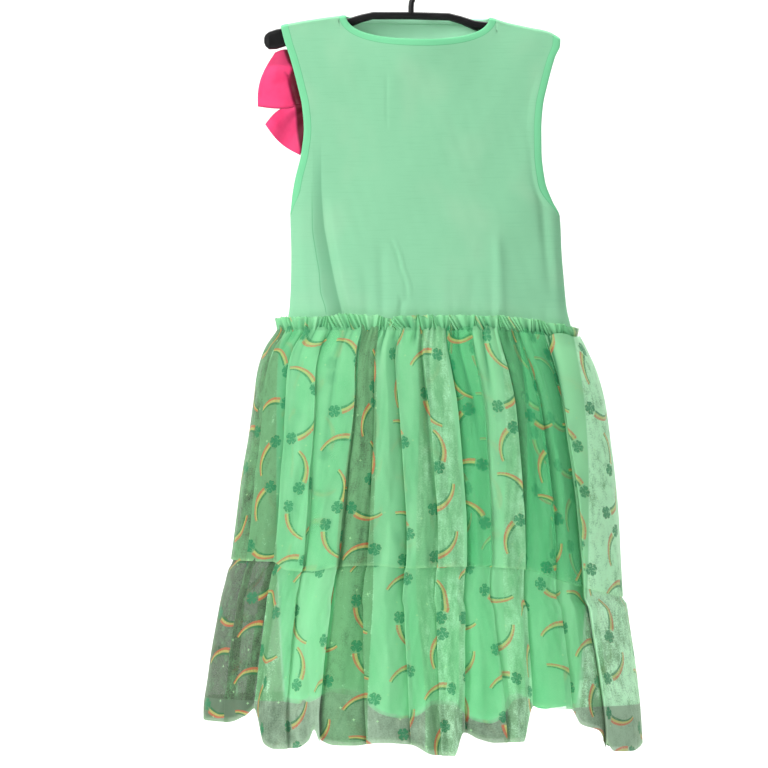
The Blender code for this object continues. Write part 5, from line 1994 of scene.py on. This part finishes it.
    def knot(self, finish: Material) -> None:
        """Makes the wrapped band, with creases where the ribbon is drawn in."""
        low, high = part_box("bow_knot")
        middle = (low + high) / 2 / MM
        half = (high - low) / 2 / MM
        around = np.linspace(0, TURN, 97)
        height = np.linspace(-1, 1, 49)
        turn, level = np.meshgrid(around, height, indexing="ij")
        waist = 0.84 + 0.1 * np.abs(level) ** 2
        round_off = np.clip(1 - np.abs(level) ** 7, 0, 1) ** 0.5
        crease = 0.035 * np.sin(5.5 * np.pi * level + 1.2 * np.sin(turn)) * (1 - np.abs(level))
        spread = (waist + crease) * (0.12 + 0.88 * round_off)
        square = 4.0
        reach = (np.abs(np.cos(turn)) ** square + np.abs(np.sin(turn)) ** square) ** (-1 / square)
        rise = 0.97 * level + 0.02 * np.sin(3 * turn)
        shape = stacked(spread * reach * np.cos(turn), spread * reach * np.sin(turn), rise)
        points = np.array(middle) + np.array(half) * shape
        places = stacked(run_length(points[:, level.shape[1] // 2])[:, None], run_length(points[0]))
        paints = {"edge": self.edge_paint(0.5 + 0.5 * level), "shade": np.zeros_like(level)}
        sheet = Sheet("bow_knot_wrap", points, places, self.wall, paints)
        sheet.make(finish, Slot.RIBBON, (0.025, 0.055), "folded", ["bodice_front"], node="bow_knot")

    def build(self) -> None:
        """Makes the bow's pieces."""
        ribbon = RibbonFinish().make()
        for part, make in (("loop", self.loop), ("tail", self.tail)):
            for where, sign in (("outer", 1), ("inner", -1)):
                make(f"bow_{part}_{where}", sign, ribbon)
        self.knot(ribbon)


# Hanger and studio


@dataclass
class Hanger:
    """The moulded hanger, whose own solid shows."""

    node: str = "hanger"

    def build(self) -> None:
        """Gives the solid its plastic."""
        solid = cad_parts[self.node]
        solid.data.materials.clear()
        solid.data.materials.append(PlasticFinish().make())
        LOG.info("hanger: moulded plastic on its solid")


@dataclass
class Studio:
    """Pale floor and backdrop, soft lights, and the camera behind the dress."""

    photo_pixels: int = 768
    pixel: float = 1.1
    hook_pixel_x: float = 411.0
    neck_pixel_y: float = 12.0
    neck_down: float = 60.0
    distance: float = 7.0
    elevation: float = 1.0
    sensor: float = 36.0
    floor_down: float = 1080.0
    floor_half: float = 4000.0
    backdrop_away: float = 1300.0
    backdrop_bend: float = 700.0
    backdrop_height: float = 4200.0
    world_light: float = 0.36
    lights: tuple[tuple, ...] = (
        ("key", (2.3, 1.9, 1.0), 1.3, 82.0),
        ("fill", (-1.6, 3.2, -0.2), 2.4, 20.0),
        ("backdrop_wash", (0.0, -0.3, 2.6), 1.6, 100.0, (0.0, -1.3, -0.5)),
    )

    def aim(self, item: Piece, place: Vector, facing: Vector) -> None:
        """Puts a camera or a light in the scene.

        Args:
            item: the camera or light.
            place: where it goes, in metres.
            facing: the direction that it looks along.
        """
        item.location = place
        item.rotation_mode = "QUATERNION"
        item.rotation_quaternion = facing.to_track_quat("-Z", "Y")
        bpy.context.scene.collection.objects.link(item)

    def target(self) -> Vector:
        """The point that the middle of the photograph shows, in metres."""
        middle = 0.5 * self.photo_pixels
        x = (self.hook_pixel_x - middle) * self.pixel
        down = self.neck_down + (middle - self.neck_pixel_y) * self.pixel
        return Vector((x, 0.0, -down)) * MM

    def camera(self) -> None:
        """Makes the camera, behind the dress as the photograph has it."""
        tilt = math.radians(self.elevation)
        back = Vector((0.0, math.cos(tilt), math.sin(tilt)))
        lens = bpy.data.cameras.new("camera")
        lens.sensor_width = self.sensor
        lens.lens = self.sensor * self.distance / (self.photo_pixels * self.pixel * MM)
        eye = bpy.data.objects.new("camera", lens)
        self.aim(eye, self.target() + back * self.distance, -back)
        bpy.context.scene.camera = eye

    def light(self, name: str, place: Numbers, size: float, power: float,
              aim: Numbers | None = None) -> None:
        """Adds one square soft light.

        Args:
            name: the light's name.
            place: where it hangs, in metres.
            size: its side, in metres.
            power: its power, in watts.
            aim: the point it faces, or None for the dress.
        """
        lamp = bpy.data.lights.new(name, "AREA")
        lamp.shape, lamp.size, lamp.energy = "SQUARE", size, power
        facing = (Vector(aim) if aim else self.target()) - Vector(place)
        self.aim(bpy.data.objects.new(name, lamp), Vector(place), facing)

    def backdrop(self) -> None:
        """Makes the floor and the backdrop in one sweep, past the dress from the camera."""
        turns = np.linspace(0, 0.5 * np.pi, 24)
        bend = self.backdrop_bend
        near = -self.backdrop_away + bend
        profile = [(self.floor_half, 0.0)]
        profile += [(near - bend * math.sin(t), bend * (1 - math.cos(t))) for t in turns]
        profile.append((near - bend, self.backdrop_height))
        across = np.linspace(self.floor_half, -self.floor_half, 9)
        points = np.array([[(x, y, z - self.floor_down) for x in across] for y, z in profile])
        grid_object("studio_sweep", points, StudioFinish().make())[1]

    def world(self) -> None:
        """Fills the shadows with plain white light."""
        made = bpy.data.worlds.new("studio")
        made.use_nodes = True
        fill = made.node_tree.nodes["Background"]
        fill.inputs["Color"].default_value = (1.0, 1.0, 1.0, 1.0)
        fill.inputs["Strength"].default_value = self.world_light
        bpy.context.scene.world = made

    def build(self) -> None:
        """Makes the studio."""
        self.camera()
        self.backdrop()
        self.world()
        for light in self.lights:
            self.light(*light)
        settings = bpy.context.scene.view_settings
        settings.view_transform = "Standard"
        settings.look = "None"
        LOG.info("studio: camera, sweep and lights")


def main() -> None:
    """Builds the dress on its frame and the studio around it."""
    logging.basicConfig(level=logging.INFO, format="%(name)s %(message)s")
    Studio().build()
    Hanger().build()
    Bodice().build()
    Skirt().build()
    Bow().build()


if __name__ == "__main__":
    main()
